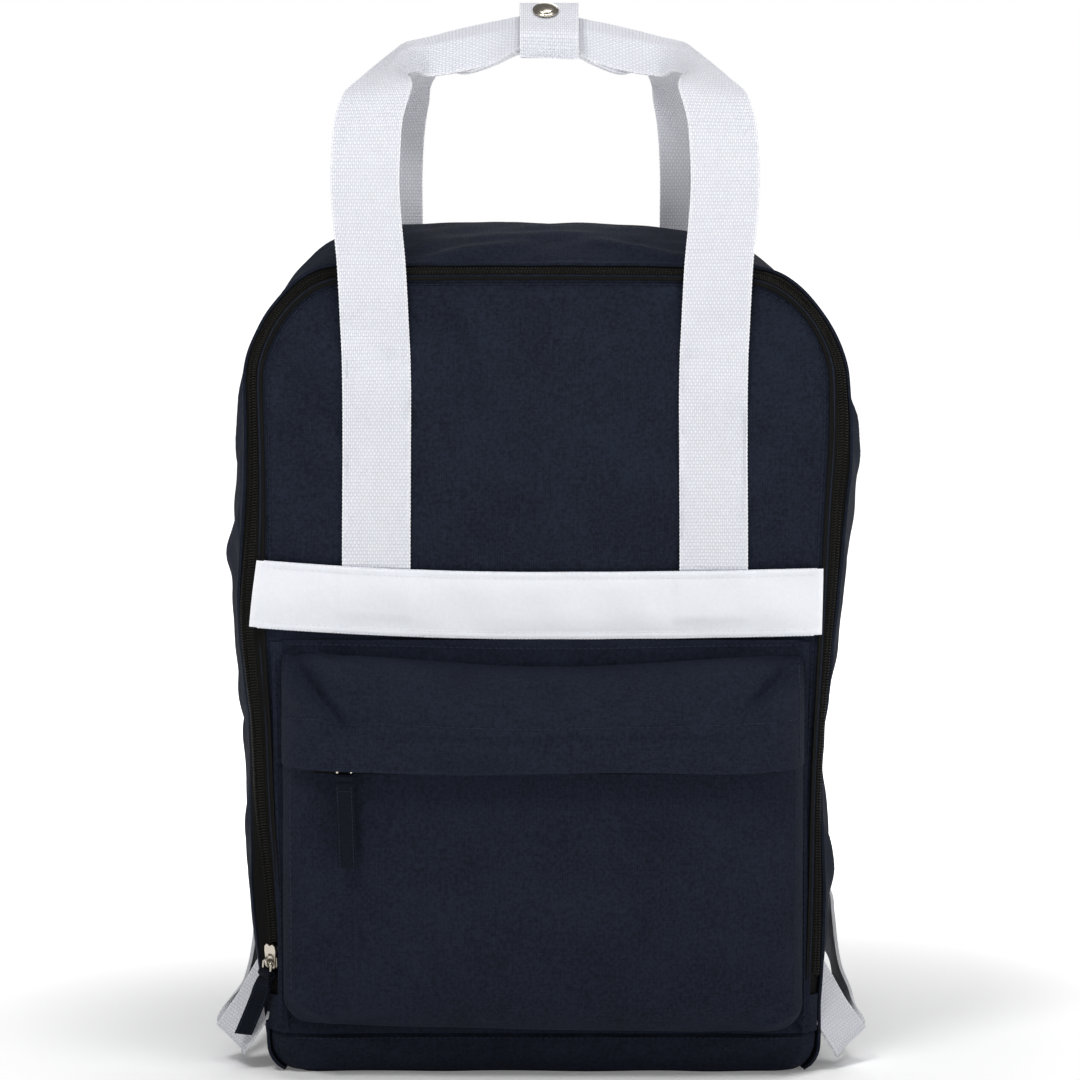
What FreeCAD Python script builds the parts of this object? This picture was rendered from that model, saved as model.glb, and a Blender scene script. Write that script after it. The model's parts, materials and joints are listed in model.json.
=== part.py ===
import FreeCAD, Part
import math
import os

import Sketcher

# School backpack, closed and standing on its base.
# Millimetres. +Z is up, the front faces -Y, +X is to the right of somebody who looks at the
# front, and the origin is the middle of the base, on the ground.
# "Left" and "right" in the names are also as seen from the front.

SIZES = (
    # bag body: four cross-sections, front panel, front edge of the gusset, belly and back
    ("front_y", 65), ("edge_y", 54), ("belly_y", 10), ("back_y", 65),
    ("front_low", 121), ("front_high", 132), ("front_top", 378), ("front_corner", 46),
    ("edge_low", 129), ("edge_high", 140), ("edge_top", 387), ("edge_corner", 54),
    ("belly_low", 131), ("belly_high", 143), ("belly_top", 400), ("belly_corner", 62),
    ("back_low", 129), ("back_high", 138), ("back_top", 390), ("back_corner", 58),
    ("belly_bulge", 4),
    # layers
    ("cloth", 1.4), ("lining", 0.8), ("clear_gap", 0.2), ("foam", 6), ("board", 2),
    ("fold_z", 21),             # height of the seam that the front panel folds about
    ("zip_end_z", 48),          # height where both ends of the main zip are sewn in
    # webbing
    ("webbing", 1.6), ("strap_width", 32), ("handle_half", 78.5), ("handle_spring", 344),
    ("narrow_webbing", 25),
    ("band_low", 208), ("band_high", 240), ("band_half", 130), ("band_thick", 1.3),
    # front pocket
    ("pocket_half", 120), ("pocket_low", 22), ("pocket_high", 149), ("pocket_front", 93),
    ("pocket_round", 12),
    ("cover_half", 122), ("cover_high", 205), ("cover_lip", 163), ("cover_hem", 150),
    ("cover_front", 102), ("pocket_zip_z", 157),
    # zips
    ("coil", 2.2), ("chain_gap", 1.2), ("tape", 0.8), ("slider_long", 12), ("slider_wide", 9),
    ("plate", 1.1), ("pull_wide", 8.5), ("main_pull_long", 28), ("pocket_pull_long", 40),
    ("main_bail", 6), ("bail_wide", 7), ("pull_lean", 12),
    # shoulder straps
    ("pad_thick", 12), ("pad_y", 77.5), ("pad_top", 372), ("pad_wide", 52), ("pad_inner", 4),
    ("adjuster_wide", 32), ("adjuster_tall", 30), ("adjuster_thick", 5), ("adjuster_x", 100),
    ("adjuster_z", 118),
    # snap on the handle keeper
    ("snap_cap", 12.5), ("snap_post", 4),
    # grips and the keeper around them
    ("front_spring", 425), ("back_spring", 422), ("grip_tilt", 26), ("grip_y", 1), ("grip_z", 486),
    ("grip_apart", 4), ("leg_away", 4.4),
    ("keeper_x", 4), ("keeper_long", 27), ("keeper_reach", 19), ("keeper_under", 5.8),
    ("keeper_over", 6), ("flap_under", 6.4), ("flap_over", 7.8), ("snap_v", 3), ("lip_reach", 7),
    # laptop sleeve and the yoke over the strap ends
    ("sleeve_half", 112), ("sleeve_y", 44), ("sleeve_top", 262), ("binding", 1.5),
    ("binding_tall", 10), ("yoke_half", 54), ("yoke_tall", 35.5),
)

doc = FreeCAD.newDocument("SchoolBackpack")
dims = doc.addObject("Spreadsheet::Sheet", "Dims")
for row, (alias, number) in enumerate(SIZES, start=1):
    dims.set(f"A{row}", alias)
    dims.set(f"B{row}", str(number))
    dims.setAlias(f"B{row}", alias)
doc.recompute()

nodes = []


def size(alias):
    """One driving dimension, for the shapes that are computed in code."""
    return float(dims.get(alias))


def value(formula):
    """Number that a formula of the sheet gives now."""
    dims.set(SCRATCH, f"={formula}")
    dims.recompute()
    return float(dims.get(SCRATCH))


def bound(formula):
    """Formula with every alias written as a reference to the sheet."""
    words = []
    word = ""
    for letter in str(formula) + " ":
        if letter.isalnum() or letter in "_.":
            word += letter
            continue
        words.append(f"Dims.{word}" if word in ALIASES else word)
        words.append(letter)
        word = ""
    return "".join(words).strip()


ALIASES = {alias for alias, number in SIZES}
SCRATCH = "D1"      # cell of the sheet that works out one formula at a time


def point(x, y, z):
    return FreeCAD.Vector(x, y, z)


# ---------------------------------------------------------------- building blocks

def new_body(label):
    body = doc.addObject("PartDesign::Body", label)
    body.Label = label
    nodes.append(body)
    return body


def new_feature(label, shape, place=None):
    """Sub-part whose free-form shape is computed from the sheet's sizes."""
    part = doc.addObject("Part::Feature", label)
    part.Label = label
    part.Shape = shape
    part.Placement = place or FreeCAD.Placement()
    nodes.append(part)
    return part


def origin_plane(body, role):
    for plane in body.Origin.OriginFeatures:
        if plane.Role == role:
            return plane
    raise ValueError(role)


def new_sketch(body, name, role, away):
    """Empty sketch on an origin plane of its body, moved along the plane's normal."""
    sketch = body.newObject("Sketcher::SketchObject", name)
    sketch.AttachmentSupport = (origin_plane(body, role), [""])
    sketch.MapMode = "FlatFace"
    sketch.setExpression("AttachmentOffset.Base.z", bound(away))
    return sketch


def polygon(body, name, role, away, corners):
    """Closed sketch whose corners are formulas of the sheet."""
    sketch = new_sketch(body, name, role, away)
    places = [point(value(across), value(up), 0) for across, up in corners]
    for index, place in enumerate(places):
        sketch.addGeometry(Part.LineSegment(place, places[(index + 1) % len(places)]))
    for index in range(len(places)):
        following = (index + 1) % len(places)
        sketch.addConstraint(Sketcher.Constraint("Coincident", index, 2, following, 1))
    for index, (across, up) in enumerate(corners):
        pin(sketch, "DistanceX", index, places[index].x, across)
        pin(sketch, "DistanceY", index, places[index].y, up)
    return sketch


def pin(sketch, kind, index, number, formula):
    """Distance of a line's first point from the sketch origin, driven by a formula."""
    name = f"{kind}{index}"
    made = sketch.addConstraint(Sketcher.Constraint(kind, -1, 1, index, 1, number))
    sketch.renameConstraint(made, name)
    sketch.setExpression(f"Constraints.{name}", bound(formula))


def pad(body, sketch, length, both_ways=False):
    feature = body.newObject("PartDesign::Pad", "Pad")
    feature.Profile = sketch
    feature.setExpression("Length", bound(length))
    if both_ways:
        feature.SideType = "Symmetric"
    doc.recompute()
    return feature


def pocket(body, sketch, depth, reverse=False):
    """Cut, checked to have removed material."""
    before = body.Shape.Volume
    feature = body.newObject("PartDesign::Pocket", "Pocket")
    feature.Profile = sketch
    feature.setExpression("Length", bound(depth))
    feature.Reversed = reverse
    doc.recompute()
    if not body.Shape.Volume < before - 1e-6:
        raise RuntimeError(f"{body.Label}: a pocket cuts nothing")
    return feature


def fillet(body, base, radius, wanted):
    """Fillet on the edges of a feature whose direction and middle pass a test."""
    names = []
    for index, edge in enumerate(base.Shape.Edges, start=1):
        ends = edge.Vertexes
        if len(ends) == 2 and wanted(ends[1].Point - ends[0].Point, edge.CenterOfMass):
            names.append(f"Edge{index}")
    feature = body.newObject("PartDesign::Fillet", "Fillet")
    feature.Base = (base, names)
    feature.setExpression("Radius", bound(radius))
    doc.recompute()
    return feature


def along(axis):
    """Test for edges that run along one axis."""
    others = [letter for letter in "xyz" if letter != axis]

    def wanted(direction, middle):
        return all(abs(getattr(direction, letter)) < 1e-6 for letter in others)
    return wanted


def rectangle(left, right, low, high):
    return ((left, low), (right, low), (right, high), (left, high))


def plate(label, corners, outer_y, thick, corner_round=None):
    """Flat piece that lies parallel to the front: an outline, its foremost y and thickness."""
    body = new_body(label)
    sketch = polygon(body, "Outline", "XZ_Plane", f"-({outer_y}) - ({thick})", corners)
    feature = pad(body, sketch, thick)
    if corner_round:
        fillet(body, feature, corner_round, along("y"))
    return body


# ---------------------------------------------------------------- the bag's cross-sections

class Section:
    """Outline of the bag at one depth: straight sides that lean out a little and round corners."""

    def __init__(self, y, low, high, top, corner, bulge=0.0):
        self.y = y
        self.low = low
        self.high = high
        self.top = top
        self.corner = corner
        self.bulge = bulge

    def half_at(self, z):
        """Half width at a height below the corner."""
        return self.low + (self.high - self.low) * z / (self.top - self.corner)

    def mixed(self, other, share):
        """Section between this one and another."""
        def mix(name):
            mine = getattr(self, name)
            return mine + (getattr(other, name) - mine) * share
        return Section(*(mix(n) for n in ("y", "low", "high", "top", "corner", "bulge")))

    def wire(self, bottom, inset=0.0):
        """Closed wire at this depth, moved inwards by inset."""
        y = self.y
        radius = self.corner - inset
        shoulder = self.top - self.corner
        inner_x = self.high - self.corner
        slant = radius * math.sqrt(0.5)
        foot = point(self.half_at(bottom) - inset, y, bottom)
        side = point(self.high - inset, y, shoulder)
        bend = point(inner_x + slant, y, shoulder + slant)
        top = point(inner_x, y, self.top - inset)
        left_foot, left_side, left_bend, left_top = (
            point(-p.x, p.y, p.z) for p in (foot, side, bend, top))
        edges = [Part.makeLine(left_foot, foot), self.flank(foot, side),
                 Part.Arc(side, bend, top).toShape(), Part.makeLine(top, left_top),
                 Part.Arc(left_top, left_bend, left_side).toShape(),
                 self.flank(left_side, left_foot)]
        return Part.Wire(edges)

    def flank(self, start, end):
        """Side edge, straight or bowed outwards."""
        if self.bulge < 0.01:
            return Part.makeLine(start, end)
        middle = (start + end) * 0.5
        middle.x += math.copysign(self.bulge, middle.x)
        return Part.Arc(start, middle, end).toShape()


def read_section(name, y):
    return Section(y, size(f"{name}_low"), size(f"{name}_high"), size(f"{name}_top"),
                   size(f"{name}_corner"), size("belly_bulge") if name == "belly" else 0.0)


FRONT = read_section("front", -size("front_y"))
EDGE = read_section("edge", -size("edge_y"))
BELLY = read_section("belly", -size("belly_y"))
BACK = read_section("back", size("back_y"))


def ring(sections, bottom, outer, inner, smooth=False):
    """Arch-shaped wall through some sections, between two insets, open at the bottom."""
    below = bottom - 5.0
    solid = Part.makeLoft([s.wire(bottom, outer) for s in sections], True, not smooth)
    core = Part.makeLoft([s.wire(below, inner) for s in sections], True, not smooth)
    return solid.cut(core)


def clip_low(shape, z_left, z_right):
    """Remove everything below a height, one height for each side."""
    reach = 400.0
    for x_from, z in ((-reach, z_left), (0.0, z_right)):
        shape = shape.cut(Part.makeBox(reach, 2 * reach, reach, point(x_from, -reach, z - reach)))
    return shape


# ---------------------------------------------------------------- back, sides and base

def panel_corners(name, bottom):
    """Corner formulas of a panel with the outline of one cross-section."""
    rise = f"({name}_top - {name}_corner)"
    foot = f"({name}_low + ({name}_high - {name}_low) * ({bottom}) / {rise})"
    return (("-" + foot, bottom), (foot, bottom), (f"{name}_high", rise),
            (f"{name}_high", f"{name}_top"), (f"-{name}_high", f"{name}_top"),
            (f"-{name}_high", rise))


def shaped_panel(label, name, bottom, outer_y, thick, inset):
    """Panel with round top corners, inset from its section's outline."""
    body = new_body(label)
    corners = [(shrink(across, inset), up if up != f"{name}_top" else f"{up} - ({inset})")
               for across, up in panel_corners(name, bottom)]
    sketch = polygon(body, "Outline", "XZ_Plane", f"-({outer_y}) - ({thick})", corners)
    feature = pad(body, sketch, thick)
    limit = max(corner.Point.z for corner in feature.Shape.Vertexes) - 1.0

    def top_corner(direction, middle):
        return along("y")(direction, middle) and middle.z > limit
    fillet(body, feature, f"{name}_corner - ({inset})", top_corner)
    return body


def shrink(across, inset):
    """Formula moved towards the middle of the bag."""
    sign = "+" if across.startswith("-") else "-"
    return f"{across} {sign} ({inset})"


def back_layers():
    shaped_panel("back_panel", "back", "cloth + 0.1", "back_y - cloth", "cloth",
                 "cloth + clear_gap")
    shaped_panel("back_foam", "back", "board + cloth + 3", "back_y - cloth - clear_gap - foam",
                 "foam", "cloth + 8")
    shaped_panel("back_lining", "back", "board + cloth + 1",
                 "back_y - cloth - 2 * clear_gap - foam - lining", "lining", "cloth + 2")


def gusset():
    """The wall that runs up one side, over the top and down the other, in one smooth belly."""
    ring_shape = ring([EDGE, BELLY, BACK], size("cloth") + 0.1, 0.0, size("cloth"), smooth=True)
    new_feature("gusset", ring_shape)


def base():
    body = new_body("base_panel")
    outline = rectangle("-(back_low)", "back_low", "-front_y", "back_y")
    feature = pad(body, polygon(body, "Outline", "XY_Plane", "0", outline), "cloth")
    fillet(body, feature, "pocket_round", along("z"))
    body = new_body("base_board")
    outline = rectangle("-(front_low - 8)", "front_low - 8", "-(edge_y - 2)", "back_y - 14")
    feature = pad(body, polygon(body, "Outline", "XY_Plane", "cloth + clear_gap", outline), "board")
    fillet(body, feature, "pocket_round / 2", along("z"))


def front_foot():
    """Low strip of the front that stays with the base when the front panel folds down."""
    plate("front_foot", rectangle("-(front_low - 1)", "front_low - 1", "cloth + 0.1",
                                  "fold_z - 0.5"), "-front_y", "cloth")


def laptop_sleeve():
    """Flat inner pocket against the back, with a bound top edge."""
    plate("laptop_sleeve", rectangle("-sleeve_half", "sleeve_half", "board + cloth + 1",
                                     "sleeve_top"), "sleeve_y", "cloth")
    body = new_body("sleeve_binding")
    front = "sleeve_y - clear_gap"
    rear = "sleeve_y + cloth + clear_gap"
    fold = "sleeve_top + clear_gap"
    low = "sleeve_top - binding_tall"
    profile = (("sleeve_y - binding", low), (front, low), (front, fold), (rear, fold),
               (rear, low), ("sleeve_y + cloth + binding", low),
               ("sleeve_y + cloth + binding", "sleeve_top + binding"),
               ("sleeve_y - binding", "sleeve_top + binding"))
    pad(body, polygon(body, "Profile", "YZ_Plane", "0", profile), "2 * sleeve_half",
        both_ways=True)


# ---------------------------------------------------------------- front panel

def front_panel():
    shaped_panel("front_panel", "front", "fold_z", "-front_y", "cloth", "0")
    shaped_panel("front_lining", "front", "fold_z + 1", "-front_y + cloth + clear_gap", "lining",
                 "4")
    plate("front_band", rectangle("-band_half", "band_half", "band_low", "band_high"),
          "-front_y - clear_gap - webbing - clear_gap - band_thick", "band_thick")


def strip_pair(label, low, high, outer_y, half):
    """Two equal upright strips of wide webbing, mirrored about the middle of the bag."""
    body = new_body(label)
    outline = rectangle(f"{half} - strap_width / 2", f"{half} + strap_width / 2", low, high)
    sketch = polygon(body, "Outline", "XZ_Plane", f"-({outer_y}) - webbing", outline)
    feature = pad(body, sketch, "webbing")
    mirror = body.newObject("PartDesign::Mirrored", "OtherSide")
    mirror.Originals = [feature]
    mirror.MirrorPlane = (origin_plane(body, "YZ_Plane"), [""])
    body.Tip = mirror
    doc.recompute()


# ---------------------------------------------------------------- front pocket

def rounded_box(name, half, low, high, front, back, radius):
    """Box between formulas of the sheet, with round front and lower edges."""
    box = doc.addObject("Part::Box", f"{name}_box")
    box.setExpression("Length", bound(f"2 * ({half})"))
    box.setExpression("Width", bound(f"({back}) - ({front})"))
    box.setExpression("Height", bound(f"({high}) - ({low})"))
    box.setExpression("Placement.Base.x", bound(f"-({half})"))
    box.setExpression("Placement.Base.y", bound(front))
    box.setExpression("Placement.Base.z", bound(low))
    doc.recompute()
    front_y = value(front)
    rim = value(high) - 1.0

    def outer(direction, middle):
        on_front = abs(middle.y - front_y) < 0.1
        upright = along("z")(direction, middle) and on_front
        low_side = along("y")(direction, middle) and middle.z < rim
        low_front = along("x")(direction, middle) and on_front and middle.z < rim
        return upright or low_side or low_front
    round_off = doc.addObject("Part::Fillet", f"{name}_round")
    round_off.Base = box
    radius = value(radius)
    round_off.Edges = [(index, radius, radius) for index, edge in enumerate(box.Shape.Edges, 1)
                       if outer(edge.Vertexes[1].Point - edge.Vertexes[0].Point, edge.CenterOfMass)]
    doc.recompute()
    return round_off


def pocket_shell():
    """Open-topped box of cloth sewn to the front panel, with round front and lower edges."""
    shell = doc.addObject("Part::Cut", "pocket_shell")
    shell.Label = "pocket_shell"
    shell.Base = rounded_box("pocket_outer", "pocket_half", "pocket_low", "pocket_high",
                             "-pocket_front", "-front_y - clear_gap", "pocket_round")
    shell.Tool = rounded_box("pocket_inner", "pocket_half - cloth", "pocket_low + cloth",
                             "pocket_high + 20", "-pocket_front + cloth", "-front_y + 20",
                             "pocket_round - cloth")
    doc.recompute()
    nodes.append(shell)


def pocket_cover():
    """Sloping cover above the pocket: sewn to the panel at the top, its hem hides the zip."""
    body = new_body("pocket_cover")
    wall = "front_y + clear_gap"
    outer = ((f"-({wall})", "cover_high"), (f"-({wall})", "cover_hem"),
             ("-cover_front - cloth", "cover_hem"), ("-cover_front", "cover_lip"))
    pad(body, polygon(body, "Outline", "YZ_Plane", "0", outer), "2 * cover_half", both_ways=True)
    inner = (("-(front_y - 2)", "cover_high - 2"), ("-(front_y - 2)", "cover_hem - 2"),
             ("-cover_front", "cover_hem - 2"), ("-cover_front + cloth", "cover_lip - 1"),
             (f"-({wall})", "cover_high - 2.2"))
    cavity = polygon(body, "Hollow", "YZ_Plane", "-(cover_half - cloth)", inner)
    pocket(body, cavity, "2 * (cover_half - cloth)", reverse=True)


def pocket_zip():
    """Two tapes and two coil halves under the cover, with room for the slider's post between."""
    half = "pocket_half - 12"
    tape_y = "-(pocket_front + clear_gap + tape)"
    coil_y = "-(pocket_front + clear_gap + tape + 0.1 + 1.3)"
    middle = "pocket_zip_z"
    edge = "(chain_gap / 2)"
    rows = (
        ("pocket_zip_tape_lower", "pocket_high - 2", f"{middle} - {edge}", tape_y, "tape"),
        ("pocket_zip_tape_upper", f"{middle} + {edge}", "pocket_zip_z + 8", tape_y, "tape"),
        ("pocket_zip_coil_lower", f"{middle} - {edge} - coil", f"{middle} - {edge}", coil_y, "1.3"),
        ("pocket_zip_coil_upper", f"{middle} + {edge}", f"{middle} + {edge} + coil", coil_y, "1.3"),
    )
    for label, low, high, outer_y, thick in rows:
        plate(label, rectangle(f"-({half})", half, low, high), outer_y, thick)


# ---------------------------------------------------------------- main zip

ZIP_WIDTH = math.hypot(size("edge_y") - size("front_y"), size("edge_high") - size("front_high"))


def zip_strip(from_mm, to_mm, low, high, z_left, z_right):
    """Strip of the main zip that runs around the front, between two distances from its edge.

    low and high are how far its two faces stand out from the surface that joins the front
    panel to the gusset.
    """
    sections = [FRONT.mixed(EDGE, distance / ZIP_WIDTH) for distance in (from_mm, to_mm)]
    return clip_low(ring(sections, 1.6, -high, -low), z_left, z_right)


def chain_middle():
    """Distance of the middle of the zip chain from the front panel's edge."""
    return ZIP_WIDTH / 2


def main_zip():
    """Tape and coil on the front panel's side, and tape and coil on the gusset's side."""
    half_gap = size("chain_gap") / 2
    middle = chain_middle()
    coil = size("coil")
    tape = size("tape")
    coil_top = tape + 0.1 + 1.4
    slider_top = size("zip_end_z") + size("slider_long") + 3.0
    end = size("zip_end_z")
    new_feature("zip_tape_front",
                zip_strip(0.1, middle - half_gap, 0.1, tape + 0.1, slider_top, end))
    new_feature("zip_coil_front",
                zip_strip(middle - half_gap - coil, middle - half_gap, tape + 0.2, coil_top + 0.1,
                          slider_top, end))
    new_feature("zip_tape_gusset",
                zip_strip(middle + half_gap, ZIP_WIDTH - 0.1, 0.1, tape + 0.1, 1.6, 1.6))
    new_feature("zip_coil_gusset",
                zip_strip(middle + half_gap, middle + half_gap + coil, tape + 0.2, coil_top + 0.1,
                          end, end))


def zip_frame(z):
    """Placement on the left run of the main zip: local x across it, y along it, z outwards."""
    share = chain_middle() / ZIP_WIDTH
    section = FRONT.mixed(EDGE, share)
    lean = (section.high - section.low) / (section.top - section.corner)
    upwards = point(-lean, 0, 1).normalize()
    across = point(-(size("edge_high") - size("front_high")), size("front_y") - size("edge_y"), 0)
    across.normalize()
    outwards = across.cross(upwards).normalize()
    if outwards.y > 0:
        outwards = outwards * -1
    across = upwards.cross(outwards).normalize()
    place = point(-section.half_at(z), section.y, z)
    turn = FreeCAD.Rotation(across, upwards, outwards, "XYZ")
    return FreeCAD.Placement(place, turn)


def slider_shape(lug_turn=0.0, lean=0.0):
    """Zip slider: two plates joined by a post between the chains, and a lug for the puller.

    The lug's eye runs across the zip, or along it when the lug is turned by 90 degrees. The post
    leans sideways by the given share of its height, as the facing edges of the two tapes do.
    """
    wide = size("slider_wide")
    long = size("slider_long")
    thick = size("plate")
    under = -0.7
    over = LUG_UP - 1.3 - thick
    lower = Part.makeBox(wide, long, thick, point(-wide / 2, 0, under - thick))
    upper = Part.makeBox(wide, long, thick, point(-wide / 2, 0, over))
    half_post = 0.35
    foot_x = -lean * under
    head_x = -lean * over
    y = long * 0.6
    outline = [point(foot_x - half_post, y, under), point(foot_x + half_post, y, under),
               point(head_x + half_post, y, over), point(head_x - half_post, y, over)]
    post = Part.Face(Part.makePolygon(outline + outline[:1])).extrude(point(0, long * 0.4, 0))
    lug = Part.makeBox(1.6, long * 0.6, 2.6, point(-0.8, LUG_ALONG - long * 0.25, over + thick))
    eye = Part.makeCylinder(1.0, 4.0, point(-2.0, LUG_ALONG, LUG_UP), point(1, 0, 0))
    for piece in (lug, eye):
        piece.rotate(point(0, LUG_ALONG, 0), point(0, 0, 1), lug_turn)
    return upper.fuse([lower, post, lug]).cut(eye).removeSplitter()


def bail_shape(drop, wide):
    """Closed wire loop that hangs from a lug: its pin lies on the local x axis."""
    wire = 0.7
    half = wide / 2
    corners = [point(-half, 0, 0), point(half, 0, 0), point(half, -drop, 0), point(-half, -drop, 0)]
    pieces = []
    for index, start in enumerate(corners):
        end = corners[(index + 1) % 4]
        pieces.append(Part.makeCylinder(wire, (end - start).Length, start, end - start))
        pieces.append(Part.makeSphere(wire, start))
    return pieces[0].multiFuse(pieces[1:])


def pull_tape_shape(drop, long):
    """Folded fabric puller that hangs from a bail, with its loop around the bail's lower bar."""
    wide = size("pull_wide")
    strip = Part.makeBox(wide, long, 1.8, point(-wide / 2, -drop - 2.2 - long, -0.9))
    loop = Part.makeCylinder(2.0, wide - 3.0, point(-(wide - 3.0) / 2, -drop, 0), point(1, 0, 0))
    eye = Part.makeCylinder(0.95, wide, point(-wide / 2, -drop, 0), point(1, 0, 0))
    neck = Part.makeBox(wide - 3.0, 1.6, 1.8, point(-(wide - 3.0) / 2, -drop - 3.0, -0.9))
    return strip.fuse([loop, neck]).cut(eye).removeSplitter()


SLIDER_Z = size("zip_end_z") + 2.0
LUG_UP = size("tape") + 0.2 + 1.4 + 0.5 + size("plate") + 1.3
LUG_ALONG = size("slider_long") * 0.32


def main_slider():
    """Slider at the closed, lower left end of the zip, with its bail and fabric puller."""
    frame = zip_frame(SLIDER_Z)
    lean = (size("edge_high") - size("front_high")) / (size("front_y") - size("edge_y"))
    new_feature("main_slider", slider_shape(lean=lean), frame)
    hang = main_pull_frame()
    drop = size("main_bail")
    new_feature("main_bail", bail_shape(drop, size("bail_wide")), hang)
    new_feature("main_pull_tape", pull_tape_shape(drop, size("main_pull_long")), hang)


def main_pull_frame():
    """Where the main puller hangs: its pin lies in the lug, and it leans outwards."""
    lug = FreeCAD.Placement(point(0, LUG_ALONG, LUG_UP),
                            FreeCAD.Rotation(point(0, 0, 1), -size("pull_lean")))
    return zip_frame(SLIDER_Z).multiply(lug)


def pocket_slider_frame():
    """Local x points up across the pocket zip, y runs along it to the left, z is outwards."""
    turn = FreeCAD.Rotation(point(0, 0, 1), point(-1, 0, 0), point(0, -1, 0), "XYZ")
    start = -(size("pocket_half") - 30.5)
    place = point(start, -size("pocket_front") - size("clear_gap"), size("pocket_zip_z"))
    return FreeCAD.Placement(place, turn)


def pocket_slider():
    """Slider at the closed left end of the pocket zip, its bail reaching below the cover hem."""
    frame = pocket_slider_frame()
    new_feature("pocket_slider", slider_shape(lug_turn=-90.0), frame)
    lug = frame.multVec(point(0, LUG_ALONG, LUG_UP))
    upright = FreeCAD.Rotation(point(1, 0, 0), point(0, 0, 1), point(0, -1, 0), "XYZ")
    hang = FreeCAD.Placement(lug, upright)
    drop = lug.z - (size("cover_hem") - 4.0)
    new_feature("pocket_bail", bail_shape(drop, size("bail_wide")), hang)
    new_feature("pocket_pull_tape", pull_tape_shape(drop, size("pocket_pull_long")), hang)


def zip_end_stops():
    """Cloth tabs sewn over the two ends of the main zip."""
    pieces = []
    for side in (-1.0, 1.0):
        frame = zip_frame(size("zip_end_z") - 9.0)
        tab = Part.makeBox(6.0, 8.0, 1.6, point(1.4, 0, 1.2))
        tab.Placement = frame.multiply(tab.Placement)
        if side > 0:
            tab = tab.mirror(point(0, 0, 0), point(1, 0, 0))
        pieces.append(tab)
    new_feature("zip_end_stops", Part.Compound(pieces))


# ---------------------------------------------------------------- webbing handles

def ribbon(stations, wide, thick):
    """Solid strip of webbing through stations, each a middle point and a width direction."""
    wires = []
    last = len(stations) - 1
    for index, (middle, across) in enumerate(stations):
        before = stations[max(index - 1, 0)][0]
        after = stations[min(index + 1, last)][0]
        forward = (after - before).normalize()
        side = (across - forward * across.dot(forward)).normalize()
        face = forward.cross(side).normalize()
        half = side * (wide / 2)
        skin = face * (thick / 2)
        corners = [middle + half + skin, middle - half + skin, middle - half - skin,
                   middle + half - skin]
        wires.append(Part.makePolygon(corners + corners[:1]))
    strip = Part.makeLoft(wires, True, True)
    return strip if strip.Volume > 0 else strip.reversed()


def ease(share):
    """Smooth step from 0 to 1."""
    share = min(max(share, 0.0), 1.0)
    return share * share * (3.0 - 2.0 * share)


def handle_halves(side_y, half, spring, top, leg_y, grip_y):
    """Both halves of a handle's loop, joined at the middle of the grip."""
    tilt = math.radians(size("grip_tilt"))
    low = size("handle_spring") + 1.0
    flat = point(0, -side_y * math.cos(tilt), -side_y * math.sin(tilt))
    steps = 14
    right = []
    for step in range(3):
        z = low + (spring - low) * step / 3.0
        right.append((point(half, leg_y, z), point(1, 0, 0)))
    for step in range(steps + 1):
        angle = math.radians(90.0) * step / steps
        x = half * math.cos(angle) ** 0.8
        z = spring + (top - spring) * math.sin(angle) ** 0.8
        y = leg_y + (grip_y - leg_y) * ease(step / (steps * 0.88))
        twist = ease(step / (steps * 0.65))
        right.append((point(x, y, z), point(1, 0, 0) * (1.0 - twist) + flat * twist))
    shape = ribbon(right, size("strap_width"), size("webbing"))
    other = shape.mirror(point(0, 0, 0), point(1, 0, 0))
    return shape.fuse(other)


def grip_offset(distance):
    """Point on the grip's middle, moved outwards from the tilted plane of the grip."""
    tilt = math.radians(size("grip_tilt"))
    return point(0, size("grip_y") - distance * math.sin(tilt),
                 size("grip_z") + distance * math.cos(tilt))


def handles():
    """The two loops, whose grips lie one on the other inside the keeper."""
    upper = grip_offset(size("grip_apart") / 2)
    lower = grip_offset(-size("grip_apart") / 2)
    front_leg = -size("front_y") - size("leg_away")
    back_leg = size("back_y") + size("leg_away")
    new_feature("front_handle", handle_halves(-1.0, value("handle_half"), size("front_spring"),
                                              upper.z, front_leg, upper.y))
    new_feature("back_handle", handle_halves(1.0, value("handle_half - 6"), size("back_spring"),
                                             lower.z, back_leg, lower.y))


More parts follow.
